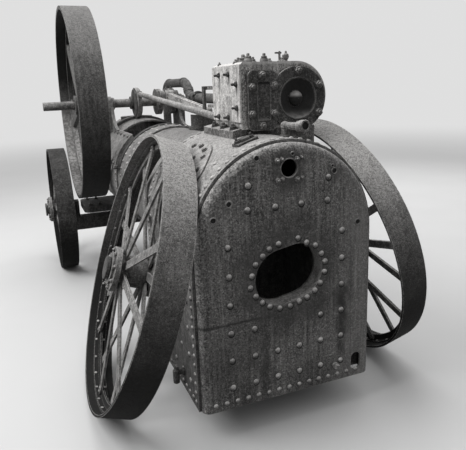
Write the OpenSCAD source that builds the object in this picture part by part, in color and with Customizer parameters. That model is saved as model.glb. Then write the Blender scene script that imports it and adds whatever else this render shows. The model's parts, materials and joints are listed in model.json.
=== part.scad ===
// Derelict portable steam engine on four iron wheels.
// X points to the engine's right, Y forward to the smokebox, Z up. The ground is Z = 0 and
// the origin is the middle of the ground under the engine. Inside each module Y is measured
// from the outer face of the backhead, and placed() carries it to the origin.

/* [Firebox] */
// Half width of the firebox and outer radius of its arch
shell_r = 430; // [415:1:445]
// Height of the arch centre
arch_z = 852; // [845:1:860]
// Height of the firebox's bottom edge
foot_z = 140; // [120:5:170]
// Length of the side-and-crown wrapper
wrapper_len = 743; // [720:1:760]
// Gap between the backhead's face and the wrapper's edge, where the rounded flange shows
seam_y = 37; // [30:1:44]
// Thickness of the boiler plates
plate_t = 12; // [8:1:16]
// Outer radius of the backhead's flanged corner
corner_r = 34; // [26:1:36]
// Depth of the flange that runs inside the wrapper
flange_depth = 80; // [60:1:100]
// Radius of the fire hole's round ends
firehole_r = 128; // [110:1:140]
// Half the distance between the fire hole's end centres
firehole_half = 38; // [20:1:55]
// Height of the fire hole's middle
firehole_z = 705; // [680:1:730]
// Slope of the fire hole's long axis in degrees
firehole_tilt = 10; // [0:1:20]
// Width of the fire hole ring's land
fire_ring_w = 46; // [36:1:60]
// Space between the wrapper and the inner firebox, filled by the foundation ring
water_leg = 76; // [60:1:90]
// Height of the inner firebox crown
crown_z = 1040; // [1000:5:1070]
// Height of the foundation ring
ring_h = 70; // [50:1:90]
// Radius of the whistle-pipe hole at the top of the backhead
top_hole_r = 37; // [25:1:45]
// Height of that hole
top_hole_z = 1166; // [1140:1:1180]
// Height of the mud hole in the backhead's lower right corner
mud_z = 214; // [205:1:230]
// Distance of the mud hole from the centre line
mud_x = 342; // [330:1:350]
// Radius of the mud hole's round ends
mud_r = 26; // [20:1:30]

/* [Barrel and smokebox] */
// Height of the barrel's axis
barrel_z = 865; // [860:1:875]
// Outer radius of the rear barrel plate
barrel_r = 370; // [355:1:372]
// Length of the rear barrel plate from the throat
rear_course = 900; // [850:5:950]
// Length of the front barrel plate
front_course = 313; // [300:1:325]
// Width of the lap between neighbouring plates
lap_w = 50; // [40:1:70]
// Length of the smokebox
smokebox_len = 1107; // [1095:1:1120]
// Half width of the rusted-out opening in the smokebox's top
gap_half = 245; // [230:1:247]
// Length of that opening from the smokebox's rear edge
gap_len = 452; // [400:1:460]
// Width of the strap band round the barrel
strap_w = 60; // [40:1:80]
// Thickness of the strap band
strap_t = 7; // [5:1:9]
// Distance of the strap band from the throat
strap_at = 1045; // [1020:1:1070]
// Radius of the smokebox door
door_r = 250; // [220:1:280]
// Thickness of the smokebox door plate
door_t = 12; // [8:1:16]
// Rise of the dished door at its middle
door_dish = 40; // [25:1:60]
// Radius of the chimney's opening
chimney_r = 95; // [80:1:110]
// Width of the chimney seat's flange
chimney_flange = 45; // [35:1:60]
// Distance of the chimney from the smokebox's front edge
chimney_at = 145; // [141:1:146]
// Number of bolts that hold the chimney on its seat
chimney_bolts = 6; // [4:1:8]
// Radius of the circle on which the chimney's bolts stand
chimney_pitch_r = 118; // [112:1:124]
// Radius of the chimney's bolt holes
chimney_bolt_r = 9; // [6:0.5:10]
// Thickness of the smokebox's back plate
tube_plate_t = 14; // [10:1:18]
// Radius of the fire tubes
tube_r = 32; // [24:1:36]
// Distance between neighbouring fire tubes
tube_pitch = 86; // [80:1:100]

/* [Cylinder] */
// Distance of the cylinder's axis right of the centre line
cyl_x = 205; // [195:1:215]
// Height of the cylinder's axis above the firebox's crown
cyl_rise = 152; // [146:1:158]
// Radius of the cylinder block round its bore
cyl_r = 156; // [150:1:160]
// Distance of the block's rear face from the backhead
block_y = 306; // [296:1:316]
// Length of the block
block_len = 344; // [330:1:360]
// Distance of the valve chest's outer face left of the centre line
chest_x = 71; // [60:1:80]
// Height of the block's top above the firebox's crown
block_top_rise = 318; // [314:1:322]
// Height of the block's bottom above the firebox's crown
block_foot_rise = 24; // [20:1:28]
// Width of the rear valve chest cover
chest_cover_w = 140; // [130:1:146]
// Height of the rear valve chest cover
chest_cover_h = 264; // [250:1:270]
// Thickness of the bolted covers
cover_t = 16; // [10:1:20]
// Radius of the dish in the cylinder cover
dish_r = 92; // [80:1:98]
// Radius of the round boss in the middle of the dish
boss_r = 36; // [28:1:42]
// Depth of the dish
dish_depth = 34; // [26:1:38]
// Height of the side chest cover
side_cover_h = 250; // [240:1:256]
// Thickness of the side chest cover
side_cover_t = 8; // [6:1:12]
// Top surface of the saddle flange above the wrapper
saddle_h = 34; // [30:1:36]
// Half width of the saddle flange
saddle_half = 235; // [225:1:245]
// Outer radius of the steam elbow
elbow_r = 17; // [14:1:20]
// Turn of the steam elbow's arm from straight right in degrees
elbow_turn = -60; // [-80:1:-40]
// Outer radius of the exhaust pipe
exhaust_r = 36; // [30:1:36]

/* [Crank and flywheel] */
// Distance of the crankshaft behind the smokebox's front edge
crank_back = 381; // [376:1:386]
// Height of the crankshaft above the smokebox
crank_rise = 132; // [130:1:138]
// Radius of the crankshaft
shaft_r = 35; // [30:1:40]
// Reach of the crankshaft past the flywheel's middle
shaft_reach = 296; // [280:1:310]
// Throw of the crank
throw = 140; // [125:1:150]
// Angle of the crank from straight forward in degrees
crank_angle = 165; // [150:1:175]
// Radius of the crank pin
pin_r = 36; // [30:1:40]
// Radius of a crank web's round cheek
web_cheek_r = 108; // [96:1:112]
// Thickness of a crank web
web_t = 42; // [36:1:46]
// Width of the crank pin between the webs
pin_w = 74; // [66:1:84]
// Length of the connecting rod between its centres
rod_len = 1010; // [990:5:1040]
// Width of the crosshead
crosshead_w = 64; // [54:2:70]
// Height of the crosshead between the slide bars
crosshead_h = 92; // [84:2:100]
// Distance of the crosshead's middle from the block
crosshead_at = 560; // [400:10:640]
// Length of the slide bars
slide_len = 800; // [760:5:840]
// Thickness of a slide bar
slide_t = 20; // [16:1:24]
// Radius of the piston rod
piston_rod_r = 22; // [18:1:26]
// Radius of the flywheel
fly_r = 762; // [740:1:770]
// Width of the flywheel's rim
fly_w = 204; // [180:1:210]
// Thickness of the flywheel's rim
fly_rim_t = 26; // [20:1:40]
// Clearance between the flywheel and the smokebox
fly_gap = 5; // [4:1:12]
// Length of the flywheel's hub
fly_hub_len = 100; // [90:1:120]
// Radius of the flywheel's hub
fly_hub_r = 78; // [74:1:88]
// Number of the flywheel's spokes
fly_spokes = 6; // [5:1:8]
// Distance of the eccentric left of the centre line
ecc_x = 44; // [40:1:48]
// Radius of the eccentric sheave
ecc_r = 100; // [90:1:104]
// Width of the eccentric sheave
ecc_w = 50; // [44:1:56]
// Offset of the eccentric behind the shaft
ecc_off = 34; // [25:1:40]
// Radius of the eccentric rod
ecc_rod_r = 19; // [15:1:22]

/* [Hind wheels] */
// Radius of a hind wheel
hind_r = 660; // [650:1:664]
// Width of a hind wheel's rim
hind_w = 140; // [130:1:144]
// Distance of each hind wheel's middle from the side of the firebox
hind_gap = 145; // [143:1:155]
// Distance of the left wheel's middle from the backhead
hind_y_left = 521; // [505:1:525]
// Distance of the right wheel's middle from the backhead
hind_y_right = 578; // [570:1:590]
// Inward lean of the left wheel in degrees
lean_left = 18.6; // [17:0.1:18.7]
// Inward lean of the right wheel in degrees
lean_right = 14.4; // [13:0.1:15]
// Turn of the left wheel's axle forward in degrees
toe_left = 3; // [2:0.1:3.4]
// Turn of the right wheel's axle forward in degrees
toe_right = 1.1; // [0:0.1:1.6]
// Pairs of spokes in a hind wheel
hind_pairs = 9; // [7:1:12]

/* [Front wheels] */
// Distance of the front axle behind the smokebox's front edge
front_back = 218; // [212:1:222]
// Radius of a front wheel
front_r = 517; // [505:1:520]
// Width of a front wheel's rim
front_w = 136; // [126:1:140]
// Clearance between a front wheel and the flywheel
front_gap = 61; // [60:1:70]
// Pairs of spokes in a front wheel
front_pairs = 7; // [6:1:10]

/* [Wheel parts] */
// Thickness of the wheel rims
rim_t = 12; // [8:1:16]
// Inward height of the ring that the spokes are riveted to
ring_in = 30; // [24:1:40]
// Thickness of that ring
ring_t = 10; // [8:1:14]
// Width of a flat spoke
spoke_w = 38; // [30:1:46]
// Thickness of a flat spoke
spoke_t = 11; // [8:1:14]
// Radius of a wheel hub's flange
hub_flange_r = 106; // [96:1:112]
// Radius of a hub between its flanges
hub_r = 74; // [66:1:80]
// Radius of an axle arm
axle_r = 38; // [34:1:42]
// Running clearance round an axle arm
axle_gap = 0.4; // [0.3:0.1:0.6]
// Reach of a hub outboard of the wheel's middle
hub_out = 116; // [112:1:118]
// Reach of a hub inboard of the wheel's middle
hub_in = 92; // [84:1:94]
// Running gap between a hub's ends and the collars of its axle arm
end_gap = 6; // [5:1:8]
// Thickness of the collar that holds a hub on its arm
collar_t = 14; // [10:1:16]
// Radius of that collar
collar_r = 54; // [50:1:58]
// Thickness of the plate that carries a hind axle arm on the firebox
arm_plate_t = 12; // [8:1:14]

/* [Forecarriage] */
// Top of the bolster beside the smokebox
bolster_top = 541; // [535:1:550]
// Thickness of the bolster's wings
bolster_h = 54; // [46:1:60]
// Width of the bolster from rear to front
bolster_w = 400; // [360:1:420]
// Half length of the bolster
bolster_half = 560; // [540:1:575]
// Metal left under the smokebox by the bolster's hollow
bolster_web = 16; // [12:1:20]
// Thickness of the turning plates
turn_t = 12; // [8:1:14]
// Radius of the turning plates
turn_r = 190; // [160:1:200]
// Depth of the dropped front axle bed
bed_h = 118; // [100:1:124]
// Width of the axle bed from rear to front
bed_w = 90; // [80:1:110]
// Radius of the king pin
king_r = 24; // [20:1:28]

/* [Hidden] */
$fn = 96;
RUST = [0.32, 0.27, 0.24];
DARK = [0.22, 0.20, 0.19];
PALE = [0.55, 0.52, 0.48];
// Overrun of every cut past the faces that it opens
over = 2;
// Seating gap left between pieces that lie on each other
seat = 0.3;
throat_y = seam_y + wrapper_len;
// Height of the firebox's crown, which the cylinder stands on
crown_top = arch_z + shell_r;
cyl_z = crown_top + cyl_rise;
block_top = crown_top + block_top_rise;
block_foot = crown_top + block_foot_rise;
// The block's round side meets its flat top, a little above the bore
case_z = block_top - cyl_r;
cover_r = cyl_r - 12;
hind_x = shell_r + hind_gap;
// The front course laps over the rear one, and the smokebox laps over the front course
front_course_r = barrel_r + plate_t;
smokebox_r = front_course_r + plate_t;
front_course_y = throat_y + rear_course - lap_w;
smokebox_y = front_course_y + front_course;
smokebox_end = smokebox_y + smokebox_len;
chimney_y = smokebox_end - chimney_at;
crank_y = smokebox_end - crank_back;
front_y = smokebox_end - front_back;
rear_y = hind_y_left - hind_r * cos(toe_left) - hind_w / 2 * sin(toe_left);
origin_y = (crank_y + fly_r + rear_y) / 2;
crank_z = barrel_z + smokebox_r + crank_rise;
fly_x = smokebox_r + fly_gap + fly_w / 2;
front_x = fly_x + fly_w / 2 + front_gap + front_w / 2;
shaft_half = fly_x + shaft_reach;
block_front = block_y + block_len;
crosshead_y = block_front + crosshead_at;
pin_y = crank_y + throw * cos(crank_angle);
pin_z = crank_z + throw * sin(crank_angle);
// The cylinder cover's spigot backs its dish and stands in the bore
spigot_r = dish_r + 6;
spigot_len = dish_depth - cover_t + 12;
// The loose small end of the connecting rod lies on the bracket's sill
sill_z = cyl_z - crosshead_h - 38;
small_end_r = 34;
small_end_z = sill_z + seat + small_end_r;
small_end_y = pin_y - sqrt(rod_len * rod_len - pow(pin_z - small_end_z, 2));
bracket_y = block_front + slide_len + seat;
// The bearing pedestals stand outside the smokebox's opening and the crank
bearing_w = 64;
bearing_left = gap_half + 5 + bearing_w / 2;
bearing_right = cyl_x + pin_w / 2 + web_t + 14 + bearing_w / 2;
turn_top = bolster_seat_z() - turn_t;

// Carries a piece from the backhead's frame to the engine's origin.
module placed() {
    translate([0, -origin_y, 0]) children();
}

// Runs an upright outline forward along Y.
module along_y(y, length) {
    translate([0, y + length, 0]) rotate([90, 0, 0]) linear_extrude(length) children();
}

// Runs an outline of Y and Z along X, centred on x.
module along_x(x, width) {
    translate([x - width / 2, 0, 0]) rotate([90, 0, 90]) linear_extrude(width) children();
}

// A round bar or bore along Y.
module rod_y(r, y, length) {
    translate([0, y, 0]) rotate([-90, 0, 0]) cylinder(r = r, h = length);
}

// A round bar or bore along X, centred.
module rod_x(r, length) {
    rotate([0, 90, 0]) cylinder(r = r, h = length, center = true);
}

// Outline of the firebox: straight sides under a round arch.
module arch_outline(r, foot) {
    translate([0, arch_z]) circle(r = r);
    translate([-r, foot]) square([2 * r, arch_z - foot]);
}

// Outline of a hole with two round ends.
module obround(r, half) {
    translate([-half, 0]) circle(r = r);
    translate([half, 0]) circle(r = r);
    translate([-half, -r]) square([2 * half, 2 * r]);
}

// A rectangle with round corners, from its lower left corner.
module soft_square(w, h, r) {
    for (x = [r, w - r]) for (y = [r, h - r]) translate([x, y]) circle(r = r);
    translate([r, 0]) square([w - 2 * r, h]);
    translate([0, r]) square([w, h - 2 * r]);
}

module firehole_outline(extra) {
    translate([0, firehole_z]) rotate(firehole_tilt) obround(firehole_r + extra, firehole_half);
}

// Half section of a flanged plate: across its radius, and forward from its face.
module flanged_half(r, depth) {
    square([r - corner_r, plate_t]);
    intersection() {
        translate([r - corner_r, corner_r]) difference() {
            circle(r = corner_r);
            circle(r = corner_r - plate_t);
        }
        translate([r - corner_r, 0]) square([corner_r, corner_r]);
    }
    translate([r - plate_t, corner_r]) square([plate_t, depth - corner_r]);
}

// A plate with the firebox's outline and its rounded flange turned forward.
module flanged_plate(r, depth, foot) {
    translate([0, 0, arch_z]) rotate([-90, 0, 0]) mirror([0, 1, 0])
        rotate_extrude(angle = 180) flanged_half(r, depth);
    translate([0, 0, foot]) linear_extrude(arch_z - foot) {
        flanged_half(r, depth);
        mirror([1, 0]) flanged_half(r, depth);
    }
}

module backhead() {
    color(RUST) placed() difference() {
        flanged_plate(shell_r - plate_t - seat, flange_depth, foot_z);
        along_y(-over, plate_t + 2 * over) {
            firehole_outline(0);
            translate([0, top_hole_z]) circle(r = top_hole_r);
            translate([mud_x, mud_z]) rotate(90) obround(mud_r, mud_r * 0.7);
        }
    }
}

module firehole_ring() {
    color(RUST) placed() along_y(plate_t, flange_depth - plate_t) difference() {
        firehole_outline(fire_ring_w);
        firehole_outline(0);
    }
}

// Outline of the inner firebox, drawn in by the inset, with rounded crown corners.
module inner_outline(half, inset) {
    round_r = 60;
    low = inset > 0 ? foot_z - over : foot_z;
    for (side = [-1, 1])
        translate([side * (half - round_r), crown_z - round_r]) circle(r = round_r - inset);
    translate([-half + round_r, low])
        square([2 * (half - round_r), crown_z - inset - low]);
    translate([-half + inset, low])
        square([2 * (half - inset), crown_z - round_r - low]);
}

// The inner firebox is open below, and the fire hole opens through its back plate.
module inner_firebox() {
    half = shell_r - plate_t - water_leg;
    length = throat_y - water_leg - flange_depth;
    color(DARK) placed() difference() {
        along_y(flange_depth, length) inner_outline(half, 0);
        along_y(flange_depth + plate_t, length - 2 * plate_t) inner_outline(half, plate_t);
        along_y(flange_depth - over, plate_t + 2 * over) firehole_outline(0);
    }
}

module foundation_ring() {
    inner_half = shell_r - plate_t - water_leg + seat;
    outer_half = shell_r - plate_t - seat;
    color(RUST) placed() translate([0, 0, foot_z]) difference() {
        translate([-outer_half, flange_depth, 0])
            cube([2 * outer_half, throat_y - flange_depth - plate_t, ring_h]);
        translate([-inner_half, flange_depth - over, -over])
            cube([2 * inner_half, throat_y - water_leg - flange_depth + over, ring_h + 2 * over]);
    }
}

module wrapper() {
    color(PALE) placed() along_y(seam_y, wrapper_len) difference() {
        arch_outline(shell_r, foot_z);
        arch_outline(shell_r - plate_t, foot_z - over);
    }
}

module throat_plate() {
    color(RUST) placed() along_y(throat_y, plate_t) difference() {
        arch_outline(shell_r, foot_z);
        translate([0, barrel_z]) circle(r = barrel_r - plate_t);
    }
}

// One rolled plate of the boiler, as a tube along Y on the barrel's axis.
module course(r, y, length) {
    translate([0, 0, barrel_z]) difference() {
        rod_y(r, y, length);
        rod_y(r - plate_t, y - over, length + 2 * over);
    }
}

// Room for the smokebox and a hair of seating round it.
module smokebox_room() {
    translate([0, 0, barrel_z]) rod_y(smokebox_r + seat, smokebox_y - 200, smokebox_len + 600);
}

module barrel() {
    color(PALE) placed() difference() {
        union() {
            course(barrel_r, throat_y + plate_t, rear_course - plate_t);
            course(front_course_r, front_course_y, front_course);
        }
        top_gap();
    }
}

// The opening where the smokebox's top has rusted away between its bearing foot plates.
module top_gap() {
    translate([-gap_half, smokebox_y - lap_w - over, barrel_z])
        cube([2 * gap_half, gap_len + over, smokebox_r + over]);
}

// The strap lies over the barrel's upper half, with a drilled lug turned out at each end.
module strap_band() {
    y = throat_y + strap_at;
    r = front_course_r + seat;
    low = 95;
    lug_in = sqrt(r * r - low * low);
    color(DARK) placed() translate([0, 0, barrel_z]) difference() {
        union() {
            intersection() {
                rod_y(r + strap_t, y, strap_w);
                translate([-2 * r, y, low]) cube([4 * r, strap_w, 2 * r]);
            }
            for (side = [-1, 1]) translate([side * (lug_in + 22) - 22, y, low])
                cube([44, strap_w, 10]);
        }
        rod_y(r, y - over, strap_w + 2 * over);
        for (side = [-1, 1]) translate([side * (lug_in + 26), y + strap_w / 2, 0])
            cylinder(r = 8, h = r);
    }
}

// The chimney's hole with the bolt holes round it, cut down from above.
module chimney_holes() {
    translate([0, chimney_y, barrel_z]) {
        cylinder(r = chimney_r, h = smokebox_r + 100);
        for (i = [0:chimney_bolts - 1]) rotate((i + 0.5) * 360 / chimney_bolts)
            translate([chimney_pitch_r, 0, 0]) cylinder(r = chimney_bolt_r, h = smokebox_r + 100);
    }
}

module smokebox() {
    color(RUST) placed() difference() {
        course(smokebox_r, smokebox_y - lap_w, smokebox_len + lap_w);
        top_gap();
        chimney_holes();
        translate([exhaust_x, exhaust_drop_y, barrel_z])
            cylinder(r = exhaust_r + seat, h = smokebox_r);
    }
}

// The smokebox's back plate, with the ends of the fire tubes open below the steam space.
module tube_plate() {
    rows = 7;
    color(RUST) placed() difference() {
        translate([0, 0, barrel_z])
            rod_y(front_course_r - plate_t - seat, smokebox_y - tube_plate_t - 10, tube_plate_t);
        for (row = [0:rows - 1]) for (column = [-4:4]) {
            x = column * tube_pitch + (row % 2) * tube_pitch / 2;
            z = tube_pitch * 0.87 * (row - 4);
            if (norm([x, z]) < barrel_r - 66)
                translate([x, 0, barrel_z + z])
                    rod_y(tube_r, smokebox_y - tube_plate_t - 10 - over, tube_plate_t + 2 * over);
        }
    }
}

// The door hangs on a pin to the right of its rim.
door_hinge_x = door_r + 34;
door_hinge_y = smokebox_end + 20;
door_strap_z = 120;

module smokebox_front() {
    color(RUST) placed() translate([0, 0, barrel_z]) {
        difference() {
            rod_y(smokebox_r - plate_t - seat, smokebox_end - plate_t, plate_t);
            rod_y(door_r - 32, smokebox_end - plate_t - over, plate_t + 2 * over);
        }
        for (side = [-1, 1]) translate([door_hinge_x, 0, side * door_strap_z - 44]) {
            difference() {
                translate([-14, smokebox_end - 1, 0]) cube([28, door_hinge_y - smokebox_end + 15, 20]);
                translate([0, door_hinge_y, -over]) cylinder(r = 8.3, h = 20 + 2 * over);
            }
        }
    }
}

// A dished plate with a flat rim, two hinge straps with their pin, and the closing handle.
module smokebox_door() {
    flat_r = door_r - 36;
    ball_r = (flat_r * flat_r + door_dish * door_dish) / (2 * door_dish);
    y = smokebox_end + seat;
    color(RUST) placed() translate([0, y, barrel_z]) rotate([-90, 0, 0]) {
        rotate_extrude() {
            translate([flat_r - 2, 0]) square([door_r - flat_r + 2, door_t]);
            intersection() {
                translate([0, door_dish - ball_r]) difference() {
                    circle(r = ball_r + door_t);
                    circle(r = ball_r);
                }
                square([flat_r, door_dish + door_t + over]);
            }
        }
        cylinder(r = 26, h = door_dish + door_t + 30);
        translate([-90, -9, door_dish + door_t + 14]) cube([180, 18, 14]);
    }
    color(RUST) placed() for (side = [-1, 1])
        translate([0, 0, barrel_z + side * door_strap_z - 22]) {
            translate([door_r - 62, y + door_t - 1, 0])
                cube([door_hinge_x - door_r + 62, 12, 44]);
            translate([door_hinge_x, door_hinge_y, 0]) {
                cylinder(r = 15, h = 44);
                translate([0, 0, -20]) cylinder(r = 8, h = 50);
            }
        }
}

// The seat is level, and its flange stands just clear of the smokebox's top.
module chimney_seat() {
    flange_rise = 8;
    depth = 60;
    color(RUST) placed() difference() {
        translate([0, chimney_y, barrel_z + smokebox_r - depth])
            cylinder(r = chimney_r + chimney_flange, h = depth + flange_rise);
        chimney_holes();
        smokebox_room();
    }
}

// The saddle's flange follows the wrapper, and its middle is level under the block.
module cylinder_saddle() {
    x = cyl_x - 85;
    color(PALE) placed() along_y(block_y + 10, block_len + 50) difference() {
        union() {
            intersection() {
                translate([0, arch_z]) circle(r = shell_r + saddle_h);
                translate([x - saddle_half, arch_z]) square([2 * saddle_half, shell_r + saddle_h]);
            }
            translate([-chest_x + 20, arch_z + 300])
                square([cyl_x + chest_x + 80, block_foot - seat - arch_z - 300]);
        }
        translate([0, arch_z]) circle(r = shell_r + seat);
        translate([cyl_x, case_z]) circle(r = cyl_r + seat);
        translate([-chest_x - seat, block_foot - seat]) square([cyl_x + chest_x + cyl_r, 60]);
    }
}

// The block's flat top runs into its round side.
module cylinder_block() {
    corner = 9;
    color(DARK) placed() difference() {
        union() {
            translate([cyl_x, 0, case_z]) rod_y(cyl_r, block_y, block_len);
            along_y(block_y, block_len) polygon([
                [-chest_x, block_foot], [-chest_x, block_top - corner],
                [-chest_x + corner, block_top], [cyl_x, block_top], [cyl_x, block_foot]
            ]);
        }
        translate([cyl_x, 0, cyl_z])
            rod_y(spigot_r + seat, block_y - over, spigot_len + seat + over);
    }
}

// The cover is dished into the bore, with a round boss in the middle of its dish.
module cylinder_cover() {
    ball_r = (dish_r * dish_r + dish_depth * dish_depth) / (2 * dish_depth);
    bottom = cover_t - dish_depth;
    color(DARK) placed() translate([cyl_x, block_y - seat, cyl_z]) rotate([90, 0, 0]) {
        difference() {
            union() {
                cylinder(r = cover_r, h = cover_t);
                translate([0, 0, -spigot_len]) cylinder(r = spigot_r, h = spigot_len + over);
            }
            translate([0, 0, bottom + ball_r]) sphere(r = ball_r);
        }
        intersection() {
            translate([0, 0, bottom]) sphere(r = boss_r);
            translate([0, 0, bottom - 6]) cylinder(r = boss_r + 10, h = 2 * boss_r);
        }
    }
}

// The rear chest cover has a shallow bare recess in its face.
module chest_cover() {
    color(DARK) placed() difference() {
        along_y(block_y - seat - cover_t, cover_t) difference() {
            translate([-chest_x + 26, block_foot - 8]) soft_square(chest_cover_w, chest_cover_h, 26);
            translate([cyl_x, cyl_z]) circle(r = cover_r + seat);
        }
        along_y(block_y - seat - cover_t - over, 5 + over)
            translate([2, block_foot + 40]) soft_square(60, 168, 8);
    }
}

module side_cover() {
    drop = 12;
    color(PALE) placed()
        translate([-chest_x - seat - side_cover_t, block_y, block_top - drop - side_cover_h])
        cube([side_cover_t, block_len, side_cover_h]);
}

module steam_elbow() {
    foot = [62, 150];
    foot_top = arch_z + sqrt(pow(shell_r + seat, 2) - pow(foot[0], 2));
    color(PALE) placed() difference() {
        translate([foot[0], foot[1], foot_top]) {
            translate([0, 0, -8]) cylinder(r = elbow_r + 5, h = 16);
            cylinder(r = elbow_r, h = 46);
            translate([0, 0, 46]) sphere(r = elbow_r + 4);
            translate([0, 0, 46]) rotate([0, 90, elbow_turn]) difference() {
                union() {
                    cylinder(r = elbow_r, h = 82);
                    translate([0, 0, 64]) cylinder(r = elbow_r + 6, h = 28);
                }
                translate([0, 0, 20]) cylinder(r = elbow_r - 5, h = 80);
            }
        }
        rod_y_boiler(shell_r + seat, 0, 400);
    }
}

// The wrapper's crown as a bar, for cutting what sits on it.
module rod_y_boiler(r, y, length) {
    translate([0, 0, arch_z]) rod_y(r, y, length);
}

// The exhaust runs along the right side, rises over the crankshaft and drops to the smokebox.
exhaust_x = cyl_x + 95;
exhaust_z = cyl_z - 16;
exhaust_top = crank_z + 149;
exhaust_start = block_front + seat;
exhaust_rise_y = crank_y - 519;
exhaust_drop_y = smokebox_end - 105;

module exhaust_pipe() {
    bend = 60;
    rise_r = (exhaust_top - exhaust_z) / 2 / (1 - cos(bend));
    rise_len = 2 * rise_r * sin(bend);
    drop_r = 130;
    inner_end = barrel_z + barrel_r - 220;
    top_y = exhaust_rise_y + rise_len;
    socket_r = exhaust_r + 5;
    socket = 30;
    color(DARK) placed() translate([exhaust_x, 0, 0]) {
        translate([0, 0, exhaust_z]) {
            rod_y(exhaust_r, exhaust_start, exhaust_rise_y - exhaust_start);
            rod_y(exhaust_r + 14, exhaust_start, 14);
            rod_y(exhaust_r + 18, exhaust_rise_y - 140, 24);
            rod_y(socket_r, exhaust_rise_y - socket, socket);
        }
        translate([0, exhaust_rise_y, exhaust_z + rise_r]) pipe_bend(rise_r, -90, bend);
        translate([0, exhaust_rise_y + rise_len / 2, (exhaust_z + exhaust_top) / 2])
            rotate([bend, 0, 0]) rod_y(socket_r, -socket / 2, socket);
        translate([0, top_y, exhaust_top - rise_r]) pipe_bend(rise_r, 90, bend);
        translate([0, 0, exhaust_top]) {
            rod_y(exhaust_r, top_y, exhaust_drop_y - drop_r - top_y);
            rod_y(socket_r, top_y, socket);
            rod_y(socket_r, exhaust_drop_y - drop_r - socket, socket);
        }
        translate([0, exhaust_drop_y - drop_r, exhaust_top - drop_r]) pipe_bend(drop_r, 0, 90);
        translate([0, exhaust_drop_y, exhaust_top - drop_r - socket])
            cylinder(r = socket_r, h = socket);
        translate([0, exhaust_drop_y, inner_end])
            cylinder(r = exhaust_r, h = exhaust_top - drop_r - inner_end);
    }
}

// A bend of the exhaust pipe in the upright plane along Y, from a start angle over a sweep.
module pipe_bend(r, start, sweep) {
    rotate([90, 0, 90]) rotate([0, 0, start]) rotate_extrude(angle = sweep)
        translate([r, 0]) circle(r = exhaust_r);
}

gland_r = crosshead_h / 2 - 1;

// The front cover and its gland take the piston rod, beside the valve spindle's gland.
module front_cover() {
    color(DARK) placed() {
        translate([cyl_x, block_front + seat, cyl_z]) difference() {
            union() {
                rod_y(gland_r, 0, 24);
                rod_y(piston_rod_r + 16, 0, 92);
            }
            rod_y(piston_rod_r + 0.1, -over, 100);
        }
        translate([-ecc_x + 20, block_front + seat, cyl_z]) {
            rod_y(38, 0, 30);
            rod_y(24, 0, 62);
        }
    }
}

module slide_bars() {
    y = block_front + seat;
    color(DARK) placed() for (side = [-1, 1])
        translate([cyl_x - crosshead_w / 2, y,
            cyl_z + side * (crosshead_h + slide_t + 2 * seat) / 2 - slide_t / 2])
            cube([crosshead_w, block_front + slide_len - y, slide_t]);
}

// The crosshead stands between the bars, its fork open to the front and its pin bare.
module crosshead() {
    fork_w = 32;
    color(DARK) placed() translate([cyl_x, crosshead_y, cyl_z]) {
        difference() {
            translate([-crosshead_w / 2 + 2, -70, -crosshead_h / 2])
                cube([crosshead_w - 4, 140, crosshead_h]);
            translate([-fork_w / 2, -30, -crosshead_h]) cube([fork_w, 140, 2 * crosshead_h]);
        }
        translate([0, 20, 0]) rod_x(16, crosshead_w - 8);
        rod_y(piston_rod_r, block_front + 4 - crosshead_y, crosshead_at - 74);
    }
}

// The rod has come off its crosshead: its big end is on the crank pin, its small end lies loose.
module connecting_rod() {
    slope = atan2(pin_z - small_end_z, pin_y - small_end_y);
    width = 34;
    big_r = pin_r + 28;
    slot_w = 10;
    slot_len = (rod_len - 300) / 2;
    color(PALE) placed() translate([cyl_x, small_end_y, small_end_z]) rotate([slope, 0, 0])
        difference() {
            union() {
                rod_x(small_end_r, width);
                translate([0, rod_len, 0]) rod_x(big_r, pin_w - 8);
                along_x(0, width) polygon([
                    [0, -small_end_r + 12], [rod_len - 30, -big_r + 26],
                    [rod_len - 30, big_r - 26], [0, small_end_r - 12]
                ]);
                translate([-pin_w / 2 + 6, rod_len - 22, -big_r - 2])
                    cube([pin_w - 12, 44, 2 * big_r + 4]);
            }
            for (start = [110, 150 + slot_len]) translate([-slot_w / 2, start, -big_r])
                cube([slot_w, slot_len, 2 * big_r]);
            rod_x(16.5, width + over);
            translate([0, rod_len, 0]) rod_x(pin_r + seat, pin_w + over);
        }
}

// A yoke on the barrel that closes the slide bars' ends and lets the rod through. Behind it
// a half-pipe stands on the same foot, with its round side to the rear.
module motion_bracket() {
    base_half = 150;
    head_half = 56;
    window_half = 40;
    base_z = barrel_z + barrel_r - 155;
    head_z = cyl_z + crosshead_h / 2 + slide_t + 4;
    post_r = 48;
    post_at = [cyl_x - 122, bracket_y - 56];
    color(DARK) placed() difference() {
        union() {
            along_y(bracket_y, 34) difference() {
                polygon([
                    [cyl_x - base_half, base_z], [cyl_x - base_half, base_z + 145],
                    [cyl_x - head_half, sill_z], [cyl_x - head_half, head_z],
                    [cyl_x + head_half, head_z], [cyl_x + head_half, sill_z],
                    [cyl_x + base_half, base_z + 60], [cyl_x + base_half, base_z]
                ]);
                translate([cyl_x - window_half, sill_z])
                    square([2 * window_half, cyl_z + crosshead_h / 2 - sill_z]);
            }
            intersection() {
                union() {
                    translate([cyl_x - base_half, bracket_y - 40, base_z])
                        cube([2 * base_half, 114, 180]);
                    translate([post_at[0], post_at[1], base_z]) cylinder(r = post_r + 16, h = 180);
                }
                translate([0, 0, barrel_z]) rod_y(barrel_r + 22, throat_y, rear_course);
            }
            translate([post_at[0], post_at[1], base_z]) linear_extrude(sill_z + 26 - base_z)
                difference() {
                    circle(r = post_r);
                    circle(r = post_r - plate_t);
                    translate([-post_r, 6]) square([2 * post_r, post_r]);
                }
        }
        translate([0, 0, barrel_z]) rod_y(barrel_r + seat, throat_y, rear_course);
    }
}

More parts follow.
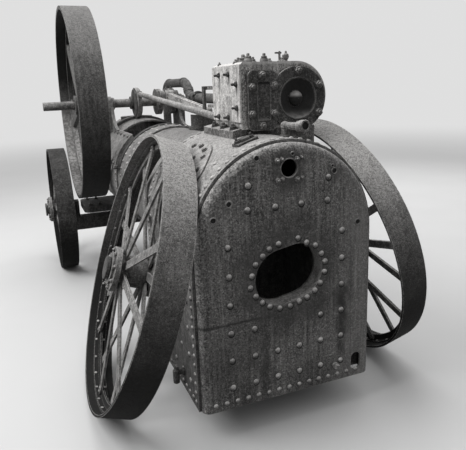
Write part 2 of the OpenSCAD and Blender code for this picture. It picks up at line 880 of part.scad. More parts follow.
// Outline of a crank web: a round cheek on the shaft, drawn out to the pin.
module web_outline() {
    pin_end_r = pin_r + 20;
    circle(r = web_cheek_r);
    translate([throw, 0]) circle(r = pin_end_r);
    translate([0, -pin_end_r]) square([throw, 2 * pin_end_r]);
}

// The shaft's ends are turned down a little where the pulleys sat.
module crankshaft() {
    web_x = pin_w / 2 + web_t / 2;
    hub_end = fly_x + fly_hub_len / 2 + 2;
    journal_left = hub_end + cyl_x - pin_w / 2;
    journal_right = bearing_right + bearing_w / 2 + 58 - cyl_x - pin_w / 2;
    collar_w = 18;
    color(DARK) placed() translate([0, crank_y, crank_z]) {
        translate([-hub_end + journal_left / 2, 0, 0]) rod_x(shaft_r, journal_left);
        translate([-shaft_half, 0, 0]) rotate([0, 90, 0])
            cylinder(r = shaft_r - 1, h = shaft_half - hub_end + over);
        translate([cyl_x + pin_w / 2 + journal_right / 2, 0, 0]) rod_x(shaft_r, journal_right);
        translate([cyl_x + pin_w / 2, 0, 0]) rotate([0, 90, 0])
            cylinder(r = shaft_r - 2, h = shaft_half - cyl_x - pin_w / 2);
        translate([cyl_x, 0, 0]) rotate([crank_angle, 0, 0]) {
            for (side = [-1, 1]) along_x(side * web_x, web_t) web_outline();
            translate([0, throw, 0]) rod_x(pin_r, pin_w + web_t);
        }
        translate([-bearing_left + bearing_w / 2 + 1 + collar_w / 2, 0, 0])
            rod_x(shaft_r + 14, collar_w);
        translate([bearing_right + bearing_w / 2 + 1 + collar_w / 2, 0, 0])
            rod_x(shaft_r + 14, collar_w);
    }
}

// A curved foot plate on each side of the smokebox's top carries a pedestal with its cap. A
// rib sweeps up to each pedestal, and a hoop ties the two over the smokebox.
module crank_bearings() {
    foot_r = smokebox_r + 16;
    foot_start = smokebox_y - lap_w + 2;
    foot_len = smokebox_len - 152;
    foot_low = 106;
    post_half = 80;
    rib_t = 24;
    rib_r = 207;
    rib_y = crank_y - post_half - rib_r + 2;
    rib_z = crank_z + 9;
    hoop_y = crank_y + 23;
    hoop_w = 70;
    color(DARK) placed() difference() {
        union() {
            for (side = [-1, 1]) {
                x = side < 0 ? bearing_left : bearing_right;
                inner = x - bearing_w / 2;
                along_x(side * x, bearing_w) translate([crank_y - post_half, barrel_z])
                    square([2 * post_half, crank_z - 30 - barrel_z]);
                along_x(side * x, bearing_w) translate([crank_y - post_half + 14, barrel_z])
                    square([2 * post_half - 28, crank_z + 20 - barrel_z]);
                along_x(side * x, bearing_w - 8) translate([crank_y, crank_z])
                    circle(r = shaft_r + 25);
                along_x(side * (inner + rib_t / 2), rib_t) difference() {
                    translate([rib_y, barrel_z])
                        square([crank_y - rib_y, crank_z - 30 - barrel_z]);
                    translate([rib_y, rib_z]) circle(r = rib_r);
                }
                intersection() {
                    translate([0, 0, barrel_z]) rod_y(foot_r, foot_start, foot_len);
                    translate([side * (inner + smokebox_r / 2) - smokebox_r / 2, foot_start,
                        barrel_z + foot_low]) cube([smokebox_r, foot_len, smokebox_r]);
                }
            }
            intersection() {
                translate([0, 0, barrel_z]) rod_y(smokebox_r + 22, hoop_y, hoop_w);
                translate([-bearing_left, hoop_y, barrel_z])
                    cube([bearing_left + bearing_right, hoop_w, 2 * smokebox_r]);
            }
        }
        for (side = [-1, 1])
            translate([side * (side < 0 ? bearing_left : bearing_right), crank_y, crank_z])
                rod_x(shaft_r + 0.1, bearing_w + over);
        smokebox_room();
    }
}

module eccentric() {
    color(DARK) placed() translate([-ecc_x, crank_y, crank_z]) difference() {
        union() {
            translate([0, -ecc_off, 0]) {
                rod_x(ecc_r, ecc_w - 16);
                for (side = [-1, 1])
                    translate([side * (ecc_w / 2 - 4), 0, 0]) rod_x(ecc_r + 12, 8);
            }
            translate([-ecc_w / 2 - 10, 0, 0]) rod_x(shaft_r + 18, 30);
        }
        rod_x(shaft_r + 0.1, 2 * ecc_w + 20);
    }
}

// A strap round the eccentric and its loose round rod, whose end lies on the saddle.
module eccentric_rod() {
    strap_r = ecc_r + 24;
    strap_width = ecc_w - 16 - 2;
    rod_from = [crank_y - ecc_off - strap_r - 16, crank_z + 70];
    rod_end = [block_front + 20, block_foot + 20 + ecc_rod_r + seat];
    slope = atan2(rod_from[1] - rod_end[1], rod_from[0] - rod_end[0]);
    length = norm(rod_from - rod_end);
    color(PALE) placed() translate([-ecc_x, 0, 0]) difference() {
        union() {
            translate([0, crank_y - ecc_off, crank_z]) rod_x(strap_r, strap_width);
            translate([-strap_width / 2, rod_from[0] - 14, crank_z - 10])
                cube([strap_width, 60, 104]);
            translate([0, rod_from[0], rod_from[1]]) rotate([slope, 0, 0])
                rod_y(ecc_rod_r, -length, length);
        }
        translate([0, crank_y - ecc_off, crank_z]) rod_x(ecc_r + seat, strap_width + over);
    }
}

// A flat-rimmed flywheel with straight arms that taper towards the rim.
module flywheel() {
    arm_in = fly_hub_r - 16;
    arm_half_in = 36;
    arm_half_out = 30;
    arm_t = 38;
    rim_in = fly_r - fly_rim_t;
    rib_in = rim_in - 30;
    color(RUST) placed() translate([-fly_x, crank_y, crank_z]) rotate([0, 90, 0]) difference() {
        union() {
            rotate_extrude() {
                translate([rim_in, -fly_w / 2]) square([fly_rim_t, fly_w]);
                translate([rib_in, -22]) square([32, 44]);
            }
            cylinder(r = fly_hub_r, h = fly_hub_len, center = true);
            for (i = [0:fly_spokes - 1]) rotate(i * 360 / fly_spokes + 15)
                translate([0, 0, -arm_t / 2]) linear_extrude(arm_t) polygon([
                    [arm_in, -arm_half_in], [rib_in + 10, -arm_half_out],
                    [rib_in + 10, arm_half_out], [arm_in, arm_half_in]
                ]);
        }
        cylinder(r = shaft_r + 0.1, h = fly_hub_len + over, center = true);
    }
}

// Height of a leaning hind wheel's middle when its rim's lowest edge is on the ground.
function hind_z(lean) = hind_r * cos(lean) + hind_w / 2 * sin(lean);

// Local frame of a hind wheel, with Z outboard along its axle.
module hind_frame(side) {
    lean = side < 0 ? lean_left : lean_right;
    toe = side < 0 ? toe_left : toe_right;
    y = side < 0 ? hind_y_left : hind_y_right;
    translate([side * hind_x, y, hind_z(lean)]) mirror([side < 0 ? 1 : 0, 0, 0])
        rotate([0, 0, toe]) rotate([0, -lean, 0]) rotate([0, 90, 0]) children();
}

// Local frame of a front wheel, with Z outboard along its axle.
module front_frame(side) {
    translate([side * front_x, front_y, front_r]) mirror([side < 0 ? 1 : 0, 0, 0])
        rotate([0, 90, 0]) children();
}

// A flat tyre with a T-section ring inside, which the spokes are riveted to.
module wheel_rim(r, w) {
    rotate_extrude() {
        translate([r - rim_t, -w / 2]) square([rim_t, w]);
        translate([r - rim_t - tee_t, -tee_w / 2]) square([tee_t + 1, tee_w]);
        translate([r - rim_t - tee_t - ring_in, -ring_t / 2]) square([ring_in + 1, ring_t]);
    }
}

// Flat bars from the hub to either side of the rim's ring, with a short bend at each foot.
module wheel_spokes(r, pairs) {
    tip = r - rim_t - tee_t - 2;
    foot = tip - ring_in - 6;
    root = hub_r + seat;
    ring_z = ring_t / 2 + seat;
    for (i = [0:pairs - 1]) for (side = [0, 1])
        rotate((i + side / 2) * 360 / pairs) mirror([0, 0, side])
            rotate([90, 0, 0]) translate([0, 0, -spoke_w / 2]) linear_extrude(spoke_w) polygon([
                [root, root_z], [foot, ring_z], [tip, ring_z],
                [tip, ring_z + spoke_t], [foot, ring_z + spoke_t], [root, root_z + spoke_t]
            ]);
}

module wheel_hub() {
    flange_t = 24;
    difference() {
        union() {
            translate([0, 0, -hub_in]) cylinder(r = hub_r, h = hub_in + hub_out);
            translate([0, 0, -hub_in]) cylinder(r = hub_flange_r, h = flange_t);
            translate([0, 0, hub_out - 12 - flange_t]) cylinder(r = hub_flange_r, h = flange_t);
        }
        translate([0, 0, -hub_in - over])
            cylinder(r = axle_r + axle_gap, h = hub_in + hub_out + 2 * over);
    }
}

// The arm that a wheel turns on, with a collar at each end of the hub.
module axle_arm(inboard) {
    translate([0, 0, -inboard]) cylinder(r = axle_r, h = inboard + hub_out + end_gap + collar_t);
    translate([0, 0, hub_out + end_gap]) cylinder(r = collar_r, h = collar_t);
    translate([0, 0, -inboard]) cylinder(r = collar_r, h = inboard - hub_in - end_gap);
}

tee_w = 58;
tee_t = 8;
root_z = 50;

// Each hind arm is forged on a plate that is bolted to the side of the firebox.
module hind_axles() {
    face = shell_r + seat;
    plate_half = 130;
    plate_z = hind_r - 70;
    color(DARK) placed() for (side = [-1, 1]) {
        y = side < 0 ? hind_y_left : hind_y_right;
        difference() {
            hind_frame(side) axle_arm(hub_in + 90);
            translate([side * (face - 200) - 200, y - 300, plate_z - 290]) cube([400, 600, 600]);
        }
        translate([side * (face + arm_plate_t / 2), y, plate_z]) rotate([0, 90, 0])
            translate([0, 0, -arm_plate_t / 2]) linear_extrude(arm_plate_t)
            translate([-plate_half, -plate_half]) soft_square(2 * plate_half, 2 * plate_half, 20);
    }
}

// Underside of the bolster's middle, where the upper turning plate is bolted on.
function bolster_seat_z() = barrel_z - smokebox_r - bolster_web;

module bolster() {
    middle_half = 300;
    color(DARK) placed() difference() {
        union() {
            translate([0, front_y, bolster_top - bolster_h]) linear_extrude(bolster_h)
                translate([-bolster_half, -bolster_w / 2])
                soft_square(2 * bolster_half, bolster_w, 60);
            translate([-middle_half, front_y - bolster_w / 2, bolster_seat_z()])
                cube([2 * middle_half, bolster_w, bolster_top - bolster_seat_z() - 10]);
            translate([0, front_y, turn_top]) cylinder(r = turn_r, h = turn_t + 1);
        }
        smokebox_room();
        translate([0, front_y, 0]) cylinder(r = king_r + 0.1, h = barrel_z);
    }
}

// A dropped bed whose knees rise to the axle arms, with the lower turning plate and king pin.
module front_axle() {
    bed_top = turn_top - turn_t - seat;
    knee_in = 44;
    knee_x = front_x - hub_in - end_gap;
    color(DARK) placed() {
        translate([-knee_x + 1, front_y - bed_w / 2, bed_top - bed_h])
            cube([2 * knee_x - 2, bed_w, bed_h]);
        translate([0, front_y, bed_top - 1]) cylinder(r = turn_r, h = turn_t + 1);
        translate([0, front_y, bed_top - bed_h - 30])
            cylinder(r = king_r, h = turn_top + turn_t + 10 - bed_top + bed_h + 30);
        translate([0, front_y, bed_top - bed_h - 16]) cylinder(r = king_r + 14, h = 17);
        for (side = [-1, 1]) {
            front_frame(side) axle_arm(hub_in + end_gap + knee_in / 2);
            translate([side * (knee_x - knee_in / 2) - knee_in / 2, front_y - bed_w / 2,
                bed_top - bed_h]) cube([knee_in, bed_w, front_r + 54 - bed_top + bed_h]);
        }
    }
}

module hind_rim(side) {
    color(RUST) placed() hind_frame(side) wheel_rim(hind_r, hind_w);
}

module hind_spokes(side) {
    color(RUST) placed() hind_frame(side) wheel_spokes(hind_r, hind_pairs);
}

module hind_hub(side) {
    color(RUST) placed() hind_frame(side) wheel_hub();
}

module front_rim(side) {
    color(RUST) placed() front_frame(side) wheel_rim(front_r, front_w);
}

module front_spokes(side) {
    color(RUST) placed() front_frame(side) wheel_spokes(front_r, front_pairs);
}

module front_hub(side) {
    color(RUST) placed() front_frame(side) wheel_hub();
}

backhead();
firehole_ring();
inner_firebox();
foundation_ring();
wrapper();
throat_plate();
barrel();
strap_band();
smokebox();
tube_plate();
smokebox_front();
smokebox_door();
chimney_seat();
cylinder_saddle();
cylinder_block();
cylinder_cover();
chest_cover();
side_cover();
steam_elbow();
exhaust_pipe();
front_cover();
slide_bars();
crosshead();
connecting_rod();
motion_bracket();
crankshaft();
crank_bearings();
eccentric();
eccentric_rod();
flywheel();
hind_axles();
bolster();
front_axle();
hind_rim(-1);  // hind_rim_left
hind_spokes(-1);  // hind_spokes_left
hind_hub(-1);  // hind_hub_left
hind_rim(1);  // hind_rim_right
hind_spokes(1);  // hind_spokes_right
hind_hub(1);  // hind_hub_right
front_rim(-1);  // front_rim_left
front_spokes(-1);  // front_spokes_left
front_hub(-1);  // front_hub_left
front_rim(1);  // front_rim_right
front_spokes(1);  // front_spokes_right
front_hub(1);  // front_hub_right
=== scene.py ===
"""Dresses the portable steam engine's frame: rusted finishes, rivets, studs, nuts and small fittings."""

import json
import logging
import math
import random
from dataclasses import dataclass
from enum import Enum
from typing import Callable, Iterable, Optional, Sequence, Union

import bmesh
import bpy
from mathutils import Matrix, Vector


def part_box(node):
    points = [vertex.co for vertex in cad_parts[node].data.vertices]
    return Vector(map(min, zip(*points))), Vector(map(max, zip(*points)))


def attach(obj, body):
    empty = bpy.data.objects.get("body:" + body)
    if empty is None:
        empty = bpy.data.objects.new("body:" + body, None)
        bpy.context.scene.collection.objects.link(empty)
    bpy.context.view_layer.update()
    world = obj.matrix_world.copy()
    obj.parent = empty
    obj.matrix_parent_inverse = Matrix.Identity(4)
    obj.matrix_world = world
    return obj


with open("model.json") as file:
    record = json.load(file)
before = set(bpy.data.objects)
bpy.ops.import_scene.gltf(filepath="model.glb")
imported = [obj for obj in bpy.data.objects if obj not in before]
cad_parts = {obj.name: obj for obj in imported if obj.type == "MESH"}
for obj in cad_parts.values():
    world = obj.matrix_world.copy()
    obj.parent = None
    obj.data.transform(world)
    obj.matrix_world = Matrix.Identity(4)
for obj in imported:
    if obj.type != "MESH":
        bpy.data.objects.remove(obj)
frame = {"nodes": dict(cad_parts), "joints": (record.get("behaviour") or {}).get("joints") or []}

LOG = logging.getLogger("engine")
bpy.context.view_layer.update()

Colour = tuple[float, float, float]
Pair = tuple[float, float]
Spot = tuple[float, float, float]
Row = tuple[float, float, int]  # first place, pitch and count
Profile = tuple[Pair, ...]  # radius and height of each ring
Loop = list[bmesh.types.BMVert]
Bar = tuple[Spot, Spot, float]  # lowest corner, highest corner and the radius of the worn edges
Socket = bpy.types.NodeSocket
Value = Union[Socket, float]
Tint = Union[Socket, Colour]
Inputs = dict[Union[str, int], Union[Value, tuple[float, ...]]]  # by an input's name or place

# Y of the backhead's outer face in the engine's frame
REAR_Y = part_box("backhead")[0].y

# Y and Z of the crankshaft, from the backhead and the ground
SHAFT_Y, SHAFT_Z = 2.669, 1.391

# Y and Z of the studs of the valve chest's side cover, from the backhead and the ground
SIDE_STUDS = ((.553, 1.550), (.431, 1.551), (.340, 1.505), (.339, 1.402), (.570, 1.356), (.446, 1.356))

UP, DOWN = Vector((0, 0, 1)), Vector((0, 0, -1))
AHEAD, BACK = Vector((0, 1, 0)), Vector((0, -1, 0))

# How deep the foot of a small piece is sunk in what carries it
SUNK = -0.003


class Side(Enum):
    """The two sides of the engine."""

    LEFT = -1
    RIGHT = 1

    def out(self) -> Vector:
        """The direction out of this side."""
        return Vector((self.value, 0, 0))


def spot(x: float, y: float, z: float) -> Vector:
    """A point by its place across, its distance from the backhead and its height."""
    return Vector((x, REAR_Y + y, z))


def polar(radius: float, turn: float) -> Pair:
    """A place on a circle, by its radius and angle."""
    return radius * math.cos(turn), radius * math.sin(turn)


def outward(turn: float) -> Vector:
    """The direction away from the boiler's middle, at an angle from its top towards the right."""
    return Vector((math.sin(turn), 0, math.cos(turn)))


def turns(count: int) -> list[float]:
    """Angles spaced evenly round a circle, the first of them half a step on."""
    return [math.tau * (k + 0.5) / count for k in range(count)]


def steps(first: float, pitch: float, count: int) -> list[float]:
    """Places spaced evenly along a line."""
    return [first + k * pitch for k in range(count)]


def grey(level: float) -> tuple[float, ...]:
    """An opaque grey."""
    return level, level, level, 1.0


def seat(place: Vector, facing: Vector) -> Matrix:
    """Gives the frame of a small piece on its seat.

    Args:
        place: middle of the piece's foot.
        facing: direction that it stands out in, which becomes its Z.

    Returns:
        The frame as a 4x4 matrix.
    """
    return Matrix.Translation(place) @ facing.to_track_quat("Z", "Y").to_matrix().to_4x4()


# The finishes: how the nodes of a material are laid out, and each kind of old iron on the engine.


class NodeSheet:
    """A short way to lay out the nodes of a material or of the sky."""

    def __init__(self, holder: Union[bpy.types.Material, bpy.types.World]) -> None:
        """Args:
            holder: the new material or sky.
        """
        holder.use_nodes = True
        self.tree = holder.node_tree
        self.tree.nodes.clear()
        self.coords = self.tree.nodes.new("ShaderNodeTexCoord").outputs

    def join(self, source: Union[Value, tuple[float, ...]], socket: Socket) -> None:
        """Links a socket, or sets a plain value on it."""
        if isinstance(source, Socket):
            self.tree.links.new(source, socket)
        else:
            socket.default_value = source

    def add(self, kind: str, inputs: Inputs, **settings: Union[str, int]) -> bpy.types.Node:
        """Adds a node.

        Args:
            kind: Blender's name for the node.
            inputs: what goes into its inputs.
            settings: the node's own settings.

        Returns:
            The node.
        """
        node = self.tree.nodes.new(kind)
        for name, setting in settings.items():
            setattr(node, name, setting)
        for name, source in inputs.items():
            self.join(source, node.inputs[name])
        return node

    def place(self, scale: tuple[float, ...]) -> Socket:
        """Stretches the object's own coordinates.

        Args:
            scale: stretch along each axis.

        Returns:
            The vector socket.
        """
        return self.add("ShaderNodeMapping", {"Vector": self.coords["Object"], "Scale": scale}).outputs[0]

    def noise(self, scale: float, detail: float = 5, rough: float = 0.6, vector: Optional[Socket] = None,
              twist: float = 0) -> Socket:
        """Adds a noise texture.

        Args:
            scale: size of the grain, in cells a metre.
            detail: number of octaves.
            rough: share of the finer octaves.
            vector: coordinates, or the object's own.
            twist: distortion.

        Returns:
            The noise's value socket.
        """
        return self.add("ShaderNodeTexNoise", {
            "Vector": vector or self.coords["Object"], "Scale": scale, "Detail": detail, "Roughness": rough,
            "Distortion": twist}).outputs[0]

    def flecks(self, scale: float, detail: float, rough: float, low: float, high: float, to_low: float = 0.0,
               to_high: float = 1.0) -> Socket:
        """Adds a noise that is spread into flecks.

        Args:
            scale: size of the grain, in cells a metre.
            detail: number of octaves.
            rough: share of the finer octaves.
            low: noise that gives to_low.
            high: noise that gives to_high.
            to_low: lowest result.
            to_high: highest result.

        Returns:
            The flecks' socket.
        """
        return self.spread(self.noise(scale, detail, rough), low, high, to_low, to_high)

    def cells(self, scale: float) -> Socket:
        """Adds a cell texture.

        Args:
            scale: size of the cells, in cells a metre.

        Returns:
            The distance socket.
        """
        node = self.add("ShaderNodeTexVoronoi", {"Vector": self.coords["Object"], "Scale": scale})
        return node.outputs["Distance"]

    def spread(self, value: Value, low: float, high: float, to_low: float = 0, to_high: float = 1) -> Socket:
        """Maps a value's range onto another, clamped.

        Args:
            value: value to map.
            low: value that gives to_low.
            high: value that gives to_high.
            to_low: lowest result.
            to_high: highest result.

        Returns:
            The mapped socket.
        """
        return self.add("ShaderNodeMapRange", {
            "Value": value, "From Min": low, "From Max": high, "To Min": to_low, "To Max": to_high,
        }, interpolation_type="SMOOTHSTEP").outputs[0]

    def calc(self, kind: str, one: Value, two: Value = 0.0) -> Socket:
        """Adds a math node.

        Args:
            kind: the node's operation.
            one: first value.
            two: second value.

        Returns:
            The result socket.
        """
        return self.add("ShaderNodeMath", {0: one, 1: two}, operation=kind).outputs[0]

    def times(self, *values: Value) -> Value:
        """Multiplies values with one another."""
        product, *rest = values
        for value in rest:
            product = self.calc("MULTIPLY", product, value)
        return product

    def plus(self, one: Value, two: Value) -> Socket:
        """Adds two values."""
        return self.calc("ADD", one, two)

    def minus(self, one: Value, two: Value) -> Socket:
        """Takes the second value from the first."""
        return self.calc("SUBTRACT", one, two)

    def weigh(self, *shares: tuple[Value, float]) -> Value:
        """Adds up values, each with its own weight.

        Args:
            shares: pairs of a value and its weight.

        Returns:
            The sum's socket.
        """
        total = 0.0
        for value, weight in shares:
            total = self.plus(total, self.times(value, weight))
        return total

    def blend(self, share: Value, below: Tint, above: Tint) -> Socket:
        """Mixes two colours.

        Args:
            share: how much of the upper colour shows.
            below: lower colour.
            above: upper colour.

        Returns:
            The colour socket.
        """
        below, above = (tint if isinstance(tint, Socket) else (*tint, 1) for tint in (below, above))
        return self.add("ShaderNodeMix", {0: share, 6: below, 7: above}, data_type="RGBA").outputs[2]

    def split(self, kind: str) -> Sequence[Socket]:
        """Splits one kind of coordinates into its axes.

        Args:
            kind: name of the coordinates.

        Returns:
            The x, y and z sockets.
        """
        return self.add("ShaderNodeSeparateXYZ", {0: self.coords[kind]}).outputs

    def axes(self) -> Sequence[Socket]:
        """The place's x, y and z sockets."""
        return self.split("Object")

    def facing(self) -> Sequence[Socket]:
        """The surface direction's x, y and z sockets."""
        return self.split("Normal")

    def edges(self, reach: float) -> Socket:
        """Finds the solid's corners, where weather and hands wear the rust bright and where a painted
        highlight stands for light on the rounded edges.

        Args:
            reach: width of the worn strip in metres.

        Returns:
            A socket that is 1 on an edge and 0 away from it.
        """
        bevel = self.add("ShaderNodeBevel", {"Radius": reach}, samples=4)
        shape = self.add("ShaderNodeNewGeometry", {})
        match = self.add("ShaderNodeVectorMath", {0: bevel.outputs[0], 1: shape.outputs["Normal"]},
                         operation="DOT_PRODUCT")
        return self.spread(match.outputs["Value"], 0.985, 0.82)

    def hollows(self, reach: float) -> Socket:
        """Finds the corners and gaps that hold dirt and fall into shade.

        Args:
            reach: how far the dirt spreads from a corner, in metres.

        Returns:
            A socket that is 1 deep in a corner and 0 in the open.
        """
        node = self.add("ShaderNodeAmbientOcclusion", {"Distance": reach}, samples=4)
        return self.spread(node.outputs["AO"], 0.82, 0.35)

    def distance(self, one: tuple[Socket, float], two: tuple[Socket, float]) -> Socket:
        """Measures the distance from an axis.

        Args:
            one: a coordinate's socket and the axis's place on it.
            two: the other coordinate's socket and the axis's place on it.

        Returns:
            The distance socket.
        """
        legs = [self.minus(value, middle) for value, middle in (one, two)]
        return self.calc("SQRT", self.plus(*(self.times(leg, leg) for leg in legs)))

    def near(self, value: Value, middle: float, inner: float, outer: float) -> Socket:
        """Marks a band round a value.

        Args:
            value: value to look at.
            middle: the band's middle.
            inner: distance up to which the mark is whole.
            outer: distance at which it has faded.

        Returns:
            The mark's socket, 0 to 1.
        """
        return self.spread(self.calc("ABSOLUTE", self.minus(value, middle)), outer, inner)

    def sway(self, value: Value, scale: float, detail: float, rough: float, reach: float) -> Socket:
        """Makes a straight line waver.

        Args:
            value: coordinate that the line runs across.
            scale: size of the waves, in cells a metre.
            detail: number of octaves.
            rough: share of the finer octaves.
            reach: full width of the waves in metres.

        Returns:
            The wavering coordinate's socket.
        """
        return self.plus(value, self.times(self.minus(self.noise(scale, detail, rough), 0.5), reach))

    def shade(self, colour: Tint, rough: Value, height: Value, iron: "RustedIron") -> None:
        """Ends the sheet with the shader.

        Args:
            colour: surface colour.
            rough: roughness.
            height: bump height.
            iron: finish that gives the relief's strength, the gloss and the metallic share.
        """
        bump = self.add("ShaderNodeBump", {
            "Strength": iron.relief, "Distance": iron.relief_depth, "Height": height})
        shader = self.add("ShaderNodeBsdfPrincipled", {
            "Metallic": iron.metallic, "Specular IOR Level": iron.gloss, "Base Color": colour,
            "Roughness": rough, "Normal": bump.outputs[0]})
        self.add("ShaderNodeOutputMaterial", {0: shader.outputs[0]})

    def seen(self) -> Socket:
        """Tells what is looked at, straight or in a reflection, from what only gives light.

        Returns:
            A socket that is 1 for camera, glossy and transmission rays.
        """
        rays = self.add("ShaderNodeLightPath", {}).outputs
        reflected = self.calc("MAXIMUM", rays["Is Camera Ray"], rays["Is Glossy Ray"])
        return self.calc("MAXIMUM", reflected, rays["Is Transmission Ray"])

    def layer(self, share: Socket, below: bpy.types.Node, above: bpy.types.Node) -> bpy.types.Node:
        """Mixes two shaders.

        Args:
            share: how much of the upper shader shows.
            below: lower shader.
            above: upper shader.

        Returns:
            The mixed shader.
        """
        return self.add("ShaderNodeMixShader", {0: share, 1: below.outputs[0], 2: above.outputs[0]})


@dataclass(frozen=True)
class RustedIron:
    """Old iron: patches, fine scale, vertical runs, edges worn bright and given a painted highlight, dirt and
    painted shade in corners, an upper side paler from bleaching and from painted light from above.
    """

    name: str
    deep: float
    base: float
    pale: float
    runs: float = 0.4
    run_cells: float = 34.0
    run_stretch: float = 0.056
    patch: float = 4.0
    mottle: float = 34.0
    grain: float = 120.0
    pitting: float = 0.5
    # How much paler an upward-facing surface turns: partly bleached rust, partly painted light from above
    bleach_and_top_light: float = 0.25
    bleach_and_top_light_from: float = 0.15
    bleach_and_top_light_to: float = 0.95
    speckle: float = 0.55
    edge: float = 0.35
    edge_reach: float = 0.005
    dirt_and_shade: float = 0.5
    dirt_and_shade_reach: float = 0.03
    rough: float = 0.8
    relief: float = 0.5
    relief_depth: float = 0.006
    warm: float = 0.02
    gloss: float = 0.3
    metallic: float = 0.0

    def tone(self, level: float) -> Colour:
        """A grey of that level with the iron's slight warmth."""
        return (level * (1 + self.warm), level, level * (1 - self.warm))

    def extra(self, sheet: NodeSheet, colour: Socket) -> Socket:
        """A finish of one piece adds its own marks here.

        Args:
            sheet: the material's nodes.
            colour: colour so far.

        Returns:
            The new colour socket.
        """
        return colour

    def body_colour(self, sheet: NodeSheet, patches: Socket, mottle: Socket, grain: Socket) -> Socket:
        """Mixes the rust's own tones.

        Args:
            sheet: the material's nodes.
            patches: wide patches.
            mottle: blotches of a few centimetres.
            grain: fine scale.

        Returns:
            The colour socket.
        """
        body = sheet.weigh((patches, 0.36), (mottle, 0.36), (grain, 0.28))
        colour = sheet.blend(sheet.spread(body, 0.41, 0.50), self.tone(self.deep), self.tone(self.base))
        colour = sheet.blend(sheet.spread(body, 0.50, 0.60, 0, 0.75), colour, self.tone(self.pale))
        stretch = (self.run_cells, self.run_cells, self.run_cells * self.run_stretch)
        runs = sheet.noise(1.0, 6, 0.66, sheet.place(stretch), 0.3)
        colour = sheet.blend(sheet.spread(runs, 0.50, 0.66, 0, self.runs), colour, self.tone(self.pale))
        colour = sheet.blend(sheet.spread(runs, 0.48, 0.34, 0, self.runs), colour,
                             self.tone(self.deep * 0.55))
        speck = sheet.times(sheet.spread(grain, 0.52, 0.66), sheet.spread(mottle, 0.36, 0.60))
        return sheet.blend(sheet.times(speck, self.speckle), colour, self.tone(self.pale * 1.35))

    def material(self) -> bpy.types.Material:
        """Builds the material once and returns it from then on.

        Returns:
            The material.
        """
        known = bpy.data.materials.get(self.name)
        if known:
            return known
        made = bpy.data.materials.new(self.name)
        sheet = NodeSheet(made)
        patches = sheet.noise(self.patch, 5, 0.62, twist=0.5)
        mottle = sheet.noise(self.mottle, 4, 0.62, twist=0.2)
        grain = sheet.noise(self.grain, 3, 0.7)
        pits = sheet.cells(self.grain * 0.9)
        colour = self.body_colour(sheet, patches, mottle, grain)
        # Upward-facing surfaces turn to a pale chalky tone: partly bleached rust, partly painted light from
        # above
        top = sheet.spread(sheet.facing()[2], self.bleach_and_top_light_from, self.bleach_and_top_light_to, 0, self.bleach_and_top_light)
        chalky_lit_tone = sheet.blend(sheet.spread(sheet.weigh((mottle, 0.5), (grain, 0.5)), 0.42, 0.58),
                            self.tone(self.pale * 0.85), self.tone(self.pale * 1.35))
        colour = sheet.blend(sheet.times(top, sheet.spread(patches, 0.3, 0.6, 0.6, 1)), colour, chalky_lit_tone)
        pit_dark = self.tone(self.deep * 0.4)
        colour = sheet.blend(sheet.spread(pits, 0.20, 0.05, 0, 0.7 * self.pitting), colour, pit_dark)
        colour = sheet.blend(sheet.spread(grain, 0.47, 0.34, 0, 0.9 * self.speckle), colour, pit_dark)
        colour = self.extra(sheet, colour)
        dirt_and_shade_mask = sheet.hollows(self.dirt_and_shade_reach)
        # Edges turn pale: partly worn rust, partly a painted highlight on rounded edges
        worn = sheet.times(sheet.edges(self.edge_reach), sheet.spread(mottle, 0.36, 0.56, 0.35, 1),
                           sheet.minus(1.0, dirt_and_shade_mask), self.edge)
        colour = sheet.blend(worn, colour, self.tone(min(self.pale * 1.7, 0.8)))
        # Corners found by ambient occlusion darken: partly dirt, partly painted shade where light does not
        # reach
        colour = sheet.blend(sheet.times(dirt_and_shade_mask, self.dirt_and_shade), colour, self.tone(self.deep * 0.3))
        rough = sheet.spread(grain, 0.3, 0.7, self.rough - 0.14, min(self.rough + 0.12, 1))
        height = sheet.weigh((mottle, 0.6), (grain, 0.5),
                             (sheet.spread(pits, 0.0, 0.25), 0.35 * self.pitting))
        sheet.shade(colour, rough, height, self)
        return made


